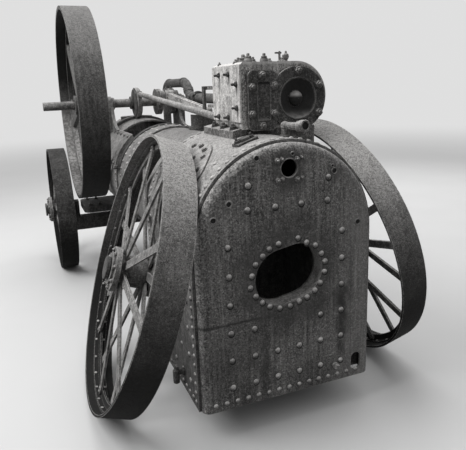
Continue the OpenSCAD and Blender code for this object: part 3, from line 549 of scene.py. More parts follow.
@dataclass(frozen=True)
class BackheadIron(RustedIron):
    """The backhead's plate: soot round the fire hole, scars round the fittings with painted highlights on two
    plug rims, drips, a seam line and painted shade inside its openings.
    """

    lip_y: float = 0.030
    seam_z: float = 0.533
    # x and z, inner and outer radius, share and tone of each scar
    scars: tuple[tuple[float, float, float, float, float, float], ...] = (
        (-0.01, 0.700, 0.17, 0.33, 0.75, 0.32), (0.0, 1.160, 0.05, 0.105, 0.75, 0.35),
        (-0.030, 1.075, 0.01, 0.045, 0.5, 0.3), (0.040, 1.085, 0.01, 0.05, 0.5, 0.3),
        # The rings of tone 3.6 and 2.4 round the plug holes at x -0.272 and -0.340 are painted highlights on
        # the rims
        (-0.272, 1.046, 0.013, 0.021, 0.9, 3.6), (-0.340, 0.988, 0.013, 0.020, 0.6, 2.4),
        (0.337, 0.870, 0.035, 0.065, 0.4, 1.7), (0.213, 1.13, 0.02, 0.055, 0.5, 0.4),
        (0.26, 0.55, 0.02, 0.09, 0.7, 0.3), (0.27, 0.43, 0.015, 0.07, 0.6, 0.3),
    )
    # x, half width, lowest and highest z and share of each drip
    drips: tuple[tuple[float, float, float, float, float], ...] = (
        (0.262, 0.034, 0.27, 0.60, 0.75), (-0.125, 0.030, 0.15, 0.46, 0.55),
        (-0.085, 0.014, 0.20, 0.50, 0.45), (0.090, 0.018, 0.15, 0.52, 0.35),
        (0.040, 0.022, 0.90, 1.10, 0.30), (0.300, 0.020, 0.60, 0.95, 0.30),
    )

    def extra(self, sheet: NodeSheet, colour: Socket) -> Socket:
        """Adds the backhead's marks.

        Args:
            sheet: the material's nodes.
            colour: colour so far.

        Returns:
            The new colour socket.
        """
        x, y, z = sheet.axes()
        wobble = sheet.minus(sheet.noise(11, 5, 0.65), 0.5)
        flaw = sheet.noise(24, 4, 0.7)
        wash = sheet.spread(sheet.noise(2.6, 5, 0.7, sheet.place((1, 1, 0.6))), 0.42, 0.62, 0, 0.5)
        colour = sheet.blend(sheet.times(sheet.spread(z, 0.62, 0.30), wash), colour,
                             self.tone(self.deep * 0.7))
        colour = sheet.blend(sheet.spread(x, 0.15, 0.42, 0, 0.35), colour, self.tone(self.pale))
        for at_x, at_z, inner, outer, share, level in self.scars:
            reach = sheet.plus(sheet.distance((x, at_x), (z, at_z)), sheet.times(wobble, outer * 0.9))
            mark = sheet.times(sheet.spread(reach, outer, inner, 0, share),
                               sheet.spread(flaw, 0.3, 0.55, 0.45, 1))
            colour = sheet.blend(mark, colour, self.tone(self.base * level))
        sway = sheet.plus(x, sheet.times(wobble, 0.05))
        for at_x, half, low_z, high_z, share in self.drips:
            strip = sheet.times(sheet.near(sway, at_x, half * 0.2, half),
                                sheet.spread(flaw, 0.3, 0.55, 0.4, 1))
            tall = sheet.times(sheet.spread(z, low_z - 0.05, low_z + 0.05),
                               sheet.spread(z, high_z + 0.05, high_z - 0.08, 0, share))
            colour = sheet.blend(sheet.times(strip, tall), colour, self.tone(self.deep * 0.35))
        seam = sheet.near(sheet.plus(z, sheet.times(wobble, 0.02)), self.seam_z, 0.002, 0.010)
        colour = sheet.blend(sheet.times(seam, sheet.spread(x, -0.10, -0.22, 0.12, 0.7)), colour,
                             self.tone(self.deep * 0.3))
        # Everything deeper than lip_y behind the plate's face is painted near black: painted shade inside the
        # fire hole and the other openings
        lip = sheet.spread(y, REAR_Y + self.lip_y, REAR_Y + self.lip_y + 0.003)
        return sheet.blend(lip, colour, self.tone(0.006))


@dataclass(frozen=True)
class DampShadedIron(RustedIron):
    """Iron darker below, partly damp and partly painted shade; the flywheel's inner face has painted shade
    overhead and painted light below.
    """

    damp_and_shade_from: float = 0.9
    damp_and_shade_to: float = 0.2
    damp_and_shade: float = 0.7
    inner_from: float = 0.0
    inner_to: float = 0.0
    inner_share: float = 0.0

    def extra(self, sheet: NodeSheet, colour: Socket) -> Socket:
        """Darkens the lower part, partly as damp and partly as painted shade, and paints shade over a rim's
        inner face and light under it.

        Args:
            sheet: the material's nodes.
            colour: colour so far.

        Returns:
            The new colour socket.
        """
        _, y, z = sheet.axes()
        edge = sheet.sway(z, 7, 4, 0.6, 0.25)
        # Darker towards the bottom: partly damp, partly painted shade on the lower, downward-facing side
        damp_and_shade = sheet.spread(edge, self.damp_and_shade_from, self.damp_and_shade_to, 0, self.damp_and_shade)
        if not self.inner_share:
            return sheet.blend(damp_and_shade, colour, self.tone(self.deep * 0.12))
        reach = sheet.distance((y, REAR_Y + SHAFT_Y), (z, SHAFT_Z))
        outside = sheet.spread(reach, self.inner_from - 0.004, self.inner_from)
        colour = sheet.blend(sheet.times(damp_and_shade, outside), colour, self.tone(self.deep * 0.12))
        inside = sheet.times(
            sheet.spread(reach, self.inner_from, self.inner_from - 0.006, 0, self.inner_share),
            sheet.spread(reach, self.inner_to - 0.02, self.inner_to),
            sheet.spread(sheet.calc("ABSOLUTE", sheet.facing()[0]), 0.75, 0.4))
        # Painted shade on the rim's inner face above the shaft, painted light on it below the shaft
        above = sheet.times(inside, sheet.spread(edge, SHAFT_Z, SHAFT_Z + 0.25))
        colour = sheet.blend(above, colour, self.tone(self.deep * 0.2))
        below = sheet.times(inside, sheet.spread(edge, SHAFT_Z, SHAFT_Z - 0.2))
        chalky_lit_tone = sheet.blend(sheet.flecks(46, 4, 0.65, 0.40, 0.60), self.tone(self.pale * 0.9),
                            self.tone(self.pale * 2.0))
        return sheet.blend(below, colour, chalky_lit_tone)


@dataclass(frozen=True)
class BowlIron(RustedIron):
    """The cylinder's covers: painted shade in the dish, painted light on the upper sides and the boss, and a
    painted highlight and shadow on the ledges of the chest cover's recess.
    """

    axis_x: float = 0.205
    axis_z: float = 1.434
    bowl_r: float = 0.091
    knob_r: float = 0.034
    recess_x: float = 0.032
    recess_half: float = 0.032
    sill_z: float = 1.347
    head_z: float = 1.509

    def extra(self, sheet: NodeSheet, colour: Socket) -> Socket:
        """Paints shade into the dish and a highlight and shadow on the recess's ledges.

        Args:
            sheet: the material's nodes.
            colour: colour so far.

        Returns:
            The new colour socket.
        """
        x, _, z = sheet.axes()
        up = sheet.facing()[2]
        reach = sheet.distance((x, self.axis_x), (z, self.axis_z))
        # Painted shade: the dish inside bowl_r is darkened
        colour = sheet.blend(sheet.spread(reach, self.bowl_r, self.bowl_r - 0.006, 0, 0.9), colour,
                             self.tone(self.deep * 0.4))
        panel = sheet.near(x, self.recess_x, self.recess_half - 0.003, self.recess_half + 0.001)
        # Painted highlight on the recess's lower ledge, painted shadow under its upper edge
        ledge_highlight = sheet.times(panel, sheet.near(z, self.sill_z, 0.0025, 0.006))
        colour = sheet.blend(ledge_highlight, colour, self.tone(self.pale * 1.3))
        shadow = sheet.times(panel, sheet.near(z, self.head_z, 0.004, 0.010), 0.9)
        colour = sheet.blend(shadow, colour, self.tone(self.deep * 0.25))
        # Painted highlight on the top of the boss
        knob_highlight = sheet.times(sheet.spread(reach, self.knob_r + 0.002, self.knob_r - 0.001),
                           sheet.spread(up, 0.05, 0.55))
        colour = sheet.blend(knob_highlight, colour, self.tone(self.pale * 2.3))
        # Painted light on the upward-facing parts of the cover
        lit = sheet.times(sheet.spread(up, 0.32, 0.80), sheet.flecks(40, 4, 0.65, 0.36, 0.56, 0.5))
        return sheet.blend(lit, colour, self.tone(self.pale * 2.1))


@dataclass(frozen=True)
class BlockIron(RustedIron):
    """The cylinder's casting: a painted highlight along the top edge and the barrel's shoulder, darker on the
    flat top.
    """

    axis_x: float = 0.205
    axis_z: float = 1.434
    shoulder_r: float = 0.166

    def extra(self, sheet: NodeSheet, colour: Socket) -> Socket:
        """Adds the painted highlight on the edge and the dark top.

        Args:
            sheet: the material's nodes.
            colour: colour so far.

        Returns:
            The new colour socket.
        """
        x, _, z = sheet.axes()
        top_z = self.axis_z + self.shoulder_r
        # Painted highlight along the rounded top edge and the barrel's shoulder
        over = sheet.spread(z, top_z - 0.016, top_z - 0.006)
        reach = sheet.distance((x, self.axis_x), (z, self.axis_z))
        shoulder = sheet.times(sheet.spread(reach, self.shoulder_r - 0.013, self.shoulder_r - 0.004),
                               sheet.spread(x, self.axis_x - 0.02, self.axis_x + 0.02),
                               sheet.spread(z, self.axis_z, self.axis_z + 0.06))
        pale = sheet.times(sheet.calc("MAXIMUM", over, shoulder),
                           sheet.flecks(26, 4, 0.65, 0.36, 0.52, 0.45, 0.95))
        flat = sheet.spread(sheet.facing()[2], 0.80, 0.97, 0, 0.85)
        patina = sheet.blend(sheet.flecks(30, 5, 0.7, 0.40, 0.60), self.tone(self.base * 0.35),
                             self.tone(self.base * 0.8))
        return sheet.blend(flat, sheet.blend(pale, colour, self.tone(self.pale * 1.05)), patina)


@dataclass(frozen=True)
class CoverIron(RustedIron):
    """The bleached side cover of the valve chest, with dark runs under its studs."""

    end_y: float = 0.430

    def extra(self, sheet: NodeSheet, colour: Socket) -> Socket:
        """Adds the runs under the studs.

        Args:
            sheet: the material's nodes.
            colour: colour so far.

        Returns:
            The new colour socket.
        """
        _, y, z = sheet.axes()
        along = sheet.sway(y, 30, 4, 0.6, 0.02)
        for at_y, at_z in SIDE_STUDS:
            run = sheet.times(sheet.near(along, REAR_Y + at_y, 0.004, 0.014),
                              sheet.spread(z, at_z + 0.016, at_z + 0.004),
                              sheet.spread(z, at_z - 0.085, at_z - 0.005), 0.85)
            colour = sheet.blend(run, colour, self.tone(self.deep * 0.25))
        streak = sheet.noise(1.0, 5, 0.6, sheet.place((60, 60, 5)), 0.4)
        colour = sheet.blend(sheet.spread(streak, 0.52, 0.64, 0, 0.55), colour, self.tone(self.deep * 0.8))
        end = sheet.times(sheet.near(y, REAR_Y + self.end_y, 0.012, 0.045),
                          sheet.spread(z, 1.47, 1.36, 0, 0.45))
        return sheet.blend(end, colour, self.tone(self.deep * 0.6))


PLATE = RustedIron("boiler_plate_rust", 0.05, 0.11, 0.22, runs=0.45)
SMOKE = RustedIron("smokebox_plate_rust", 0.09, 0.205, 0.37, runs=0.55)
BACKHEAD = BackheadIron("backhead_plate_rust", 0.055, 0.165, 0.35, runs=0.62, run_cells=70, patch=3.0,
                        mottle=62, grain=135, bleach_and_top_light=0.65, bleach_and_top_light_from=0.48, bleach_and_top_light_to=0.90, edge=0.2,
                        dirt_and_shade=0.9, dirt_and_shade_reach=0.035, speckle=1.0)
LIP = RustedIron("fire_hole_lip_rust", 0.12, 0.26, 0.44, runs=0.2, edge=0.6, dirt_and_shade=0.3)
HEARTH = RustedIron("firebox_scale", 0.06, 0.12, 0.24, runs=0.3)
CROWN = DampShadedIron("wrapper_plate_bleached_and_lit", 0.09, 0.175, 0.33, runs=0.5, patch=5.0, bleach_and_top_light=0.75, dirt_and_shade=0.8,
                 speckle=0.7, damp_and_shade_from=0.95, damp_and_shade_to=0.15, damp_and_shade=0.6)
DOOR = RustedIron("smokebox_door_rust", 0.06, 0.13, 0.28, runs=0.5, edge=1.0, edge_reach=0.008, dirt_and_shade=0.95,
                  dirt_and_shade_reach=0.04)
BARREL = RustedIron("barrel_plate_rust", 0.07, 0.15, 0.27, runs=0.3, patch=3.5, bleach_and_top_light=0.35)
STRAP = RustedIron("strap_iron_dark", 0.025, 0.05, 0.12, runs=0.2, bleach_and_top_light=0.15, edge=1.0)
BLOCK = BlockIron("cylinder_casting_rust", 0.13, 0.35, 0.60, runs=0.8, run_cells=50, mottle=50, grain=150,
                  pitting=0.9, bleach_and_top_light=0.4, edge=0.5, edge_reach=0.008, dirt_and_shade=0.6, speckle=0.9)
PEDESTAL = RustedIron("pedestal_casting_rust", 0.07, 0.15, 0.30, runs=0.4, grain=130, pitting=0.7, bleach_and_top_light=0.5,
                      edge=0.7)
CASTING = RustedIron("rough_casting_dark", 0.03, 0.07, 0.17, runs=0.3, grain=130, pitting=0.8, edge=0.8)
FACE = BowlIron("cover_casting_dark", 0.026, 0.060, 0.18, runs=0.35, mottle=60, grain=150, pitting=0.9,
                bleach_and_top_light=0.5, edge=1.0, edge_reach=0.008, dirt_and_shade=0.95, dirt_and_shade_reach=0.020, speckle=0.8)
PALE_COVER = CoverIron("side_cover_bleached", 0.24, 0.52, 0.74, runs=0.6, patch=7.0, pitting=0.3, bleach_and_top_light=0.2,
                       edge=0.3, dirt_and_shade=0.8)
# The elbow's upward-facing parts are pale: painted light from above
ELBOW = RustedIron("elbow_casting_rust", 0.035, 0.075, 0.30, runs=0.2, grain=160, bleach_and_top_light=0.9,
                   bleach_and_top_light_from=-0.1, bleach_and_top_light_to=0.8, edge=0.9, dirt_and_shade=0.8)
FORGING = RustedIron("forging_rust", 0.07, 0.16, 0.36, runs=0.2, grain=130, bleach_and_top_light=0.5, edge=0.7, dirt_and_shade=0.7)
RODS = RustedIron("rod_bleached", 0.18, 0.40, 0.66, runs=0.2, grain=130, bleach_and_top_light=0.4, edge=0.7, dirt_and_shade=0.95)
BAR = RustedIron("eccentric_bar_rust", 0.09, 0.19, 0.38, runs=0.2, grain=130, bleach_and_top_light=0.45, edge=0.5, dirt_and_shade=0.8)
FLY = DampShadedIron("turned_rim_rust", 0.055, 0.100, 0.18, runs=0.5, patch=3.0, mottle=60, grain=190, pitting=0.5,
               rough=0.66, bleach_and_top_light=0.65, edge=0.9, edge_reach=0.006, speckle=0.9, damp_and_shade_from=1.60, damp_and_shade_to=0.80,
               damp_and_shade=0.9, inner_from=0.752, inner_to=0.705, inner_share=0.92, gloss=0.15)
TYRE = DampShadedIron("tyre_rust", 0.13, 0.220, 0.36, runs=0.3, patch=4.5, mottle=70, grain=210, bleach_and_top_light=1.0,
                bleach_and_top_light_from=0.25, edge=0.8, relief=0.9, speckle=1.0, dirt_and_shade=0.85, dirt_and_shade_reach=0.09,
                damp_and_shade_from=1.12, damp_and_shade_to=0.36, damp_and_shade=0.97, gloss=0.1)
LOW_TYRE = DampShadedIron("front_tyre_rust", 0.020, 0.038, 0.10, runs=0.3, patch=4.5, mottle=60, grain=190,
                    bleach_and_top_light=0.4, edge=0.8, relief=0.9, speckle=0.9, damp_and_shade_from=0.60, damp_and_shade_to=0.15, damp_and_shade=0.85,
                    gloss=0.12)
SADDLE = RustedIron("saddle_casting_rust", 0.05, 0.105, 0.34, runs=0.4, mottle=50, grain=170, bleach_and_top_light=0.95,
                    bleach_and_top_light_from=0.35, edge=0.9, dirt_and_shade=0.9, speckle=0.8)
SPOKE = RustedIron("spoke_rust", 0.06, 0.15, 0.34, runs=0.25, grain=130, bleach_and_top_light=0.5, edge=0.8, dirt_and_shade=0.8)
UNDER = RustedIron("carriage_iron_rust", 0.03, 0.065, 0.16, runs=0.2, edge=0.6)
# Rivet and nut heads: pale tops and darker lower sides, painted highlights and painted shade
HEADS = RustedIron("rivet_head_rust", 0.06, 0.13, 0.50, runs=0.1, grain=200, bleach_and_top_light=1.0, bleach_and_top_light_from=-0.35,
                   bleach_and_top_light_to=0.55, edge=0.0, dirt_and_shade=0.95, dirt_and_shade_reach=0.010, speckle=0.2, pitting=0.2)
SEAM_HEADS = RustedIron("seam_head_rust", 0.06, 0.12, 0.40, runs=0.1, grain=150, bleach_and_top_light=1.0, bleach_and_top_light_from=0.0,
                        bleach_and_top_light_to=0.7, edge=0.0, dirt_and_shade=0.95, dirt_and_shade_reach=0.012, speckle=0.2)
NUTS = RustedIron("nut_rust", 0.08, 0.12, 0.32, runs=0.1, grain=220, bleach_and_top_light=1.0, bleach_and_top_light_from=-0.1,
                  bleach_and_top_light_to=0.7, edge=0.35, edge_reach=0.003, dirt_and_shade=0.95, dirt_and_shade_reach=0.014, speckle=0.1,
                  pitting=0.1)
STUDS = RustedIron("stud_rust_dark", 0.025, 0.06, 0.16, runs=0.1, grain=150, bleach_and_top_light=0.4, edge=0.5,
                   edge_reach=0.002, dirt_and_shade=0.8, dirt_and_shade_reach=0.014)
# Near-black finish of the painted shadow discs under the rivet heads
RIVET_SHADOW = RustedIron("rivet_shadow_dark", 0.008, 0.018, 0.04, runs=0.1, bleach_and_top_light=0.0, edge=0.0, speckle=0.2)
# Near-black finish of the painted shade in the holes and the elbow's bore
HOLE_SHADE = RustedIron("hole_shade_dark", 0.002, 0.005, 0.012, runs=0.1, bleach_and_top_light=0.0, edge=0.0)

NODE_FINISH: dict[str, RustedIron] = {
    "backhead": BACKHEAD, "firehole_ring": LIP, "inner_firebox": HEARTH, "foundation_ring": PLATE,
    "wrapper": CROWN, "throat_plate": PLATE, "barrel": BARREL, "strap_band": STRAP,
    "smokebox": SMOKE, "tube_plate": UNDER, "smokebox_front": SMOKE, "smokebox_door": DOOR,
    "chimney_seat": CASTING, "cylinder_saddle": SADDLE, "cylinder_block": BLOCK, "cylinder_cover": FACE,
    "chest_cover": FACE, "side_cover": PALE_COVER, "steam_elbow": ELBOW, "exhaust_pipe": CASTING,
    "front_cover": CASTING, "slide_bars": FORGING, "crosshead": FORGING, "connecting_rod": RODS,
    "motion_bracket": CASTING, "crankshaft": FORGING, "crank_bearings": PEDESTAL, "eccentric": CASTING,
    "eccentric_rod": BAR, "flywheel": FLY, "hind_axles": UNDER, "bolster": UNDER, "front_axle": UNDER,
}


# The meshes of the small pieces.


class Forge:
    """Collects like small shapes into one mesh and hands it over as a piece."""

    def __init__(self, name: str, finish: RustedIron, slot: str, body: str = "root") -> None:
        """Args:
            name: the piece's name.
            finish: its finish.
            slot: the record's material slot; not used.
            body: body that it rides on.
        """
        self.name, self.finish, self.slot, self.body = name, finish, slot, body
        self.mesh = bmesh.new()
        self.chance = random.Random(name)

    def loops(self, rings: Iterable[Pair], sides: int, at: Matrix, twist: float = 0) -> list[Loop]:
        """Sets the points of rings.

        Args:
            rings: radius and height of each ring.
            sides: number of points in a ring.
            at: place of the rings.
            twist: turn of the first point in radians.

        Returns:
            The points of each ring.
        """
        return [[self.mesh.verts.new(at @ Vector((*polar(radius, twist + math.tau * k / sides), height)))
                 for k in range(sides)] for radius, height in rings]

    def bridge(self, loops: Sequence[Loop]) -> None:
        """Closes the strips between neighbouring loops with faces."""
        for low, high in zip(loops, loops[1:]):
            for k, corner in enumerate(low):
                after = (k + 1) % len(low)
                self.mesh.faces.new((corner, low[after], high[after], high[k]))

    def ring_stack(self, rings: Iterable[Pair], sides: int, at: Matrix, twist: float = 0) -> None:
        """Lofts round or many-sided rings, closed at both ends.

        Args:
            rings: radius and height of each ring.
            sides: number of sides.
            at: place of the stack.
            twist: turn of the first corner in radians.
        """
        loops = self.loops(rings, sides, at, twist)
        self.bridge(loops)
        self.mesh.faces.new(loops[-1])
        self.mesh.faces.new(tuple(reversed(loops[0])))

    def hoop(self, rings: Iterable[Pair], sides: int, at: Matrix) -> None:
        """Turns a closed profile round an axis.

        Args:
            rings: radius and height of each corner of the profile, in order.
            sides: number of sides.
            at: place of the hoop.
        """
        loops = self.loops(rings, sides, at)
        self.bridge(loops + loops[:1])

    def disc(self, place: Vector, facing: Vector, radius: float, profile: Profile, sides: int) -> None:
        """Lays a thin round disc.

        Args:
            place: its middle.
            facing: direction that it faces.
            radius: its radius.
            profile: each ring's share of the radius, and its height.
            sides: number of sides.
        """
        self.ring_stack([(radius * share, height) for share, height in profile], sides, seat(place, facing))

    def rivet(self, place: Vector, facing: Vector, radius: float, rise: float = 0.6) -> None:
        """Adds a domed head, a little worn.

        Args:
            place: middle of its foot.
            facing: direction that it stands out in.
            radius: radius of the head.
            rise: height as a share of the radius.
        """
        radius *= self.chance.uniform(0.93, 1.05)
        dome = [(radius * math.cos(a), radius * rise * math.sin(a)) for a in (0.35, 0.7, 1.05, 1.35)]
        self.ring_stack([(radius, SUNK), (radius, 0.0), *dome], 12, seat(place, facing))

    def nut(self, place: Vector, facing: Vector, radius: float, stud: float = 0.45) -> None:
        """Adds a six-sided nut on a washer, with the stud's end standing out.

        Args:
            place: middle of its foot.
            facing: direction that it stands out in.
            radius: radius over the corners.
            stud: how far the stud stands out, as a share of the radius.
        """
        at = seat(place, facing)
        twist = self.chance.uniform(0, math.tau)
        high = radius * 0.85
        reach = high + radius * stud
        washer_r, stud_r = radius * 1.16, radius * 0.5
        self.ring_stack([(washer_r, SUNK), (washer_r, 0.003)], 16, at)
        self.ring_stack([(radius * 0.93, 0.002), (radius, 0.002 + radius * 0.12),
                         (radius, high - radius * 0.14), (radius * 0.86, high)], 6, at, twist)
        self.ring_stack([(stud_r, high - 0.002), (stud_r, reach - 0.003), (radius * 0.36, reach)], 12, at)

    def rim(self, place: Vector, facing: Vector, radius: float, width: float, rise: float) -> None:
        """Adds a low worn rim round a hole.

        Args:
            place: middle of the hole.
            facing: direction that the rim stands out in.
            radius: radius of the hole.
            width: width of the rim.
            rise: height of the rim.
        """
        self.hoop([(radius, -0.002), (radius + width, -0.002), (radius + width * 0.85, rise * 0.6),
                   (radius + width * 0.5, rise), (radius + width * 0.15, rise * 0.7)],
                  28, seat(place, facing))

    def block(self, low: Sequence[float], high: Sequence[float], round_by: float,
              at: Matrix = Matrix.Identity(4)) -> None:
        """Adds a bar with its edges worn round.

        Args:
            low: lowest corner.
            high: highest corner.
            round_by: radius of the worn edges.
            at: place of the bar.
        """
        made = bmesh.ops.create_cube(self.mesh, size=1.0)["verts"]
        size = Vector(high) - Vector(low)
        middle = (Vector(high) + Vector(low)) / 2
        for vert in made:
            vert.co = Vector(vert.co[k] * size[k] + middle[k] for k in range(3))
        edges = list(dict.fromkeys(edge for vert in made for edge in vert.link_edges))
        done = bmesh.ops.bevel(self.mesh, geom=edges, offset=round_by, segments=2, profile=0.6,
                               affect="EDGES")
        verts = {vert for face in done["faces"] for vert in face.verts} | {v for v in made if v.is_valid}
        for vert in verts:
            vert.co = at @ vert.co

    def sheet(self, outline: Sequence[Pair], lay: Callable[[float, float, float], Vector],
              thick: float) -> None:
        """Lays a plate with that outline on a surface.

        Args:
            outline: corners of the plate in the surface's own two directions.
            lay: gives the point at two directions and a height.
            thick: thickness of the plate.
        """
        middle = [sum(corner[k] for corner in outline) / len(outline) for k in (0, 1)]
        rings = []
        for height, inset in ((-0.002, 0.0), (thick - 0.002, 0.0), (thick, 0.012)):
            share = 1 - inset * 2
            rings.append([
                self.mesh.verts.new(lay(*(m + (c - m) * share for m, c in zip(middle, corner)), height))
                for corner in outline])
        self.bridge(rings)
        top, tip = rings[-1], self.mesh.verts.new(lay(*middle, thick))
        for k, corner in enumerate(top):
            self.mesh.faces.new((corner, top[(k + 1) % len(top)], tip))
        self.mesh.faces.new(tuple(reversed(rings[0])))

    def pour(self, smooth: float = 0.7) -> None:
        """Closes the mesh and makes the piece.

        Args:
            smooth: edges flatter than this angle are shaded round.
        """
        bmesh.ops.recalc_face_normals(self.mesh, faces=self.mesh.faces)
        for face in self.mesh.faces:
            face.smooth = True
        for edge in self.mesh.edges:
            if len(edge.link_faces) == 2 and edge.calc_face_angle(0) > smooth:
                edge.smooth = False
        data = bpy.data.meshes.new(self.name)
        self.mesh.to_mesh(data)
        self.mesh.free()
        piece = bpy.data.objects.new(self.name, data)
        bpy.context.scene.collection.objects.link(piece)
        data.materials.append(self.finish.material())
        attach(piece, self.body)
        LOG.info("%s: %d faces on %s", self.name, len(data.polygons), self.body)


def dress_node(name: str, finish: RustedIron) -> None:
    """Gives a solid of the frame its finish.

    Args:
        name: the node.
        finish: its finish.
    """
    node = frame["nodes"][name]
    node.data.materials.clear()
    node.data.materials.append(finish.material())
    LOG.info("%s dressed as %s", name, finish.name)


# The engine's sub-assemblies. X is across, Y is from the backhead and Z is from the ground.


@dataclass
class Firebox:
    """The backhead and wrapper with their stays, rivets and small fittings."""

    shell_r: float = 0.430
    arch_z: float = 0.852
    foot_z: float = 0.140
    rivet_r: float = 0.0115
    rivet_pitch: float = 0.0435
    seam_ys: Pair = (0.063, 0.750)
    foot_rise: float = 0.035
    foot_row: Row = (0.105, 0.05, 13)
    edge_rise: float = 0.032
    edge_row: Row = (-0.365, 0.0505, 15)
    stay_r: float = 0.0135
    stay_rise: float = 0.6
    stay_columns: int = 6
    stay_pitch: float = 0.108
    stay_x: float = -0.013
    stay_zs: tuple[float, ...] = (0.240, 0.366, 0.492, 0.618, 0.743, 0.869)
    extra_stays: tuple[Pair, ...] = (
        (-0.192, 1.013), (-0.067, 1.013), (0.054, 1.013), (0.181, 1.013), (-0.186, 1.112), (0.186, 1.112))
    side_row: Row = (0.135, 0.112, 6)
    side_rise: float = 0.5
    crown_row: Row = (0.15, 0.128, 5)
    crown_degrees: tuple[float, ...] = (62, 38, -38, -62)
    ring_rivet_r: float = 0.0130
    ring_rivet_rise: float = 0.65
    ring_rivets: tuple[Pair, ...] = (
        (-.055, .851), (-.098, .835), (-.129, .808), (-.163, .777), (-.181, .73), (-.189, .679),
        (-.165, .637), (-.136, .604), (-.101, .579), (-.054, .562), (-.003, .563), (.042, .575),
        (.081, .587), (.12, .612), (.147, .643), (.169, .691), (.171, .739), (.153, .778), (.122, .82),
        (.079, .838), (.038, .864))
    # Painted shadow: each rivet gets a dark disc shifted down and to the right
    stain_shift: Pair = (0.0022, -0.0048)
    shadow_disc: Profile = ((1.1, -0.002), (1.1, 0.0003), (1.02, 0.0005))
    hole_studs: tuple[Pair, ...] = ((-0.046, 1.203), (0.044, 1.204), (-0.044, 1.122), (0.046, 1.120))
    stud_pair: tuple[Pair, Pair] = ((-0.010, 0.0115), (0.0115, 0.009))
    stud_slope: float = 0.2
    stud_reach: float = 0.9
    top_hole: tuple[float, float, float] = (0.0, 1.166, 0.0365)
    top_rim: Pair = (0.007, 0.003)
    plug_place: Pair = (0.226, 0.222)
    plug_foot: Profile = ((0.015, -0.003), (0.015, 0.008), (0.012, 0.011))
    plug_square: Profile = ((0.014, 0.006), (0.014, 0.026), (0.012, 0.029))
    plug_twist: float = 0.5
    hole_shade_disc: Profile = ((1.0, SUNK), (1.0, 0.0005), (0.98, 0.0008))
    plug_rim: Pair = (0.0055, 0.0035)
    # x, z and radius of each plug hole
    plug_holes: tuple[tuple[float, float, float], ...] = (
        (-0.146, 1.218, 0.009), (-0.272, 1.046, 0.0095), (-0.340, 0.988, 0.010), (0.214, 1.136, 0.010),
        (0.337, 0.896, 0.010), (0.015, 1.224, 0.005), (0.205, 1.158, 0.004))
    shoulder_t: float = 0.009
    shoulder: tuple[Pair, ...] = (
        (-.215, .545), (-.200, .494), (-.196, .430), (-.204, .370), (-.222, .321), (-.251, .275),
        (-.286, .235), (-.322, .199), (-.352, .180), (-.388, .182), (-.412, .215), (-.412, .290),
        (-.395, .370), (-.362, .450), (-.318, .520), (-.272, .567), (-.235, .568))
    shoulder_nuts: tuple[Pair, ...] = (
        (-.238, .530), (-.226, .450), (-.243, .366), (-.281, .298), (-.302, .388), (-.343, .242))
    shoulder_nut: Pair = (0.0125, 0.15)
    flange_place: Pair = (-0.1185, 0.172)
    flange_ends: tuple[Pair, Pair] = ((-0.162, 0.166), (-0.075, 0.180))
    flange_blocks: tuple[Bar, ...] = (
        ((-0.052, -0.028, -0.006), (0.052, 0.028, 0.009), 0.003),
        ((-0.022, -0.016, 0.006), (0.020, 0.022, 0.022), 0.006))
    flange_bolts: tuple[Spot, ...] = ((-0.038, 0.004, 0.009), (0.037, 0.004, 0.009))
    flange_bolt: Pair = (0.0125, 0.9)
    mouth_place: Spot = (0.107, 0.066, 1.3255)
    mouth_way: Spot = (0.12, -0.99, 0.08)
    mouth_socket: Profile = ((0.0165, -0.018), (0.0225, -0.020), (0.0262, -0.014), (0.0262, 0.009),
                             (0.0240, 0.012), (0.0180, 0.012), (0.0165, 0.010))
    mouth_bore_shade: Profile = ((0.0170, -0.004), (0.0170, 0.0045), (0.0165, 0.005))
    drain_yz: Pair = (0.235, 0.232)
    drain_reach: float = 0.040
    drain_stem: Profile = ((0.018, -0.004), (0.018, 0.010), (0.012, 0.013), (0.012, 0.040))
    drain_body: Profile = ((0.010, -0.050), (0.015, -0.046), (0.016, 0.014), (0.010, 0.020), (0.006, 0.044),
                           (0.006, 0.052))
    drain_handle: Bar = ((-0.006, -0.034, 0.040), (0.006, 0.034, 0.050), 0.003)

    def stay_places(self) -> Iterable[Pair]:
        """Yields each stay's head on the backhead: two whole rows, and fewer beside and over the fire hole.

        Returns:
            X and Z of the heads.
        """
        last = self.stay_columns - 1
        for row, z in enumerate(self.stay_zs):
            for column in range(self.stay_columns):
                if row < 2 or column in (0, last) or (row == 2 and column in (1, last - 1)):
                    yield self.stay_x + (column - last / 2) * self.stay_pitch, z
        yield from self.extra_stays

    def outline_places(self, foot: float) -> Iterable[tuple[float, float, Vector]]:
        """Spaces points evenly round the firebox's outline.

        Args:
            foot: height of the lowest points.

        Returns:
            X, Z and the outward direction of each point.
        """
        side = self.arch_z - foot
        total = 2 * side + math.pi * self.shell_r
        count = round(total / self.rivet_pitch)
        for k in range(count + 1):
            run = total * k / count
            if run < side:
                yield -self.shell_r, foot + run, Vector((-1, 0, 0))
            elif run > total - side:
                yield self.shell_r, foot + total - run, Vector((1, 0, 0))
            else:
                across, rise = polar(1.0, math.pi - (run - side) / self.shell_r)
                yield self.shell_r * across, self.arch_z + self.shell_r * rise, Vector((across, 0, rise))

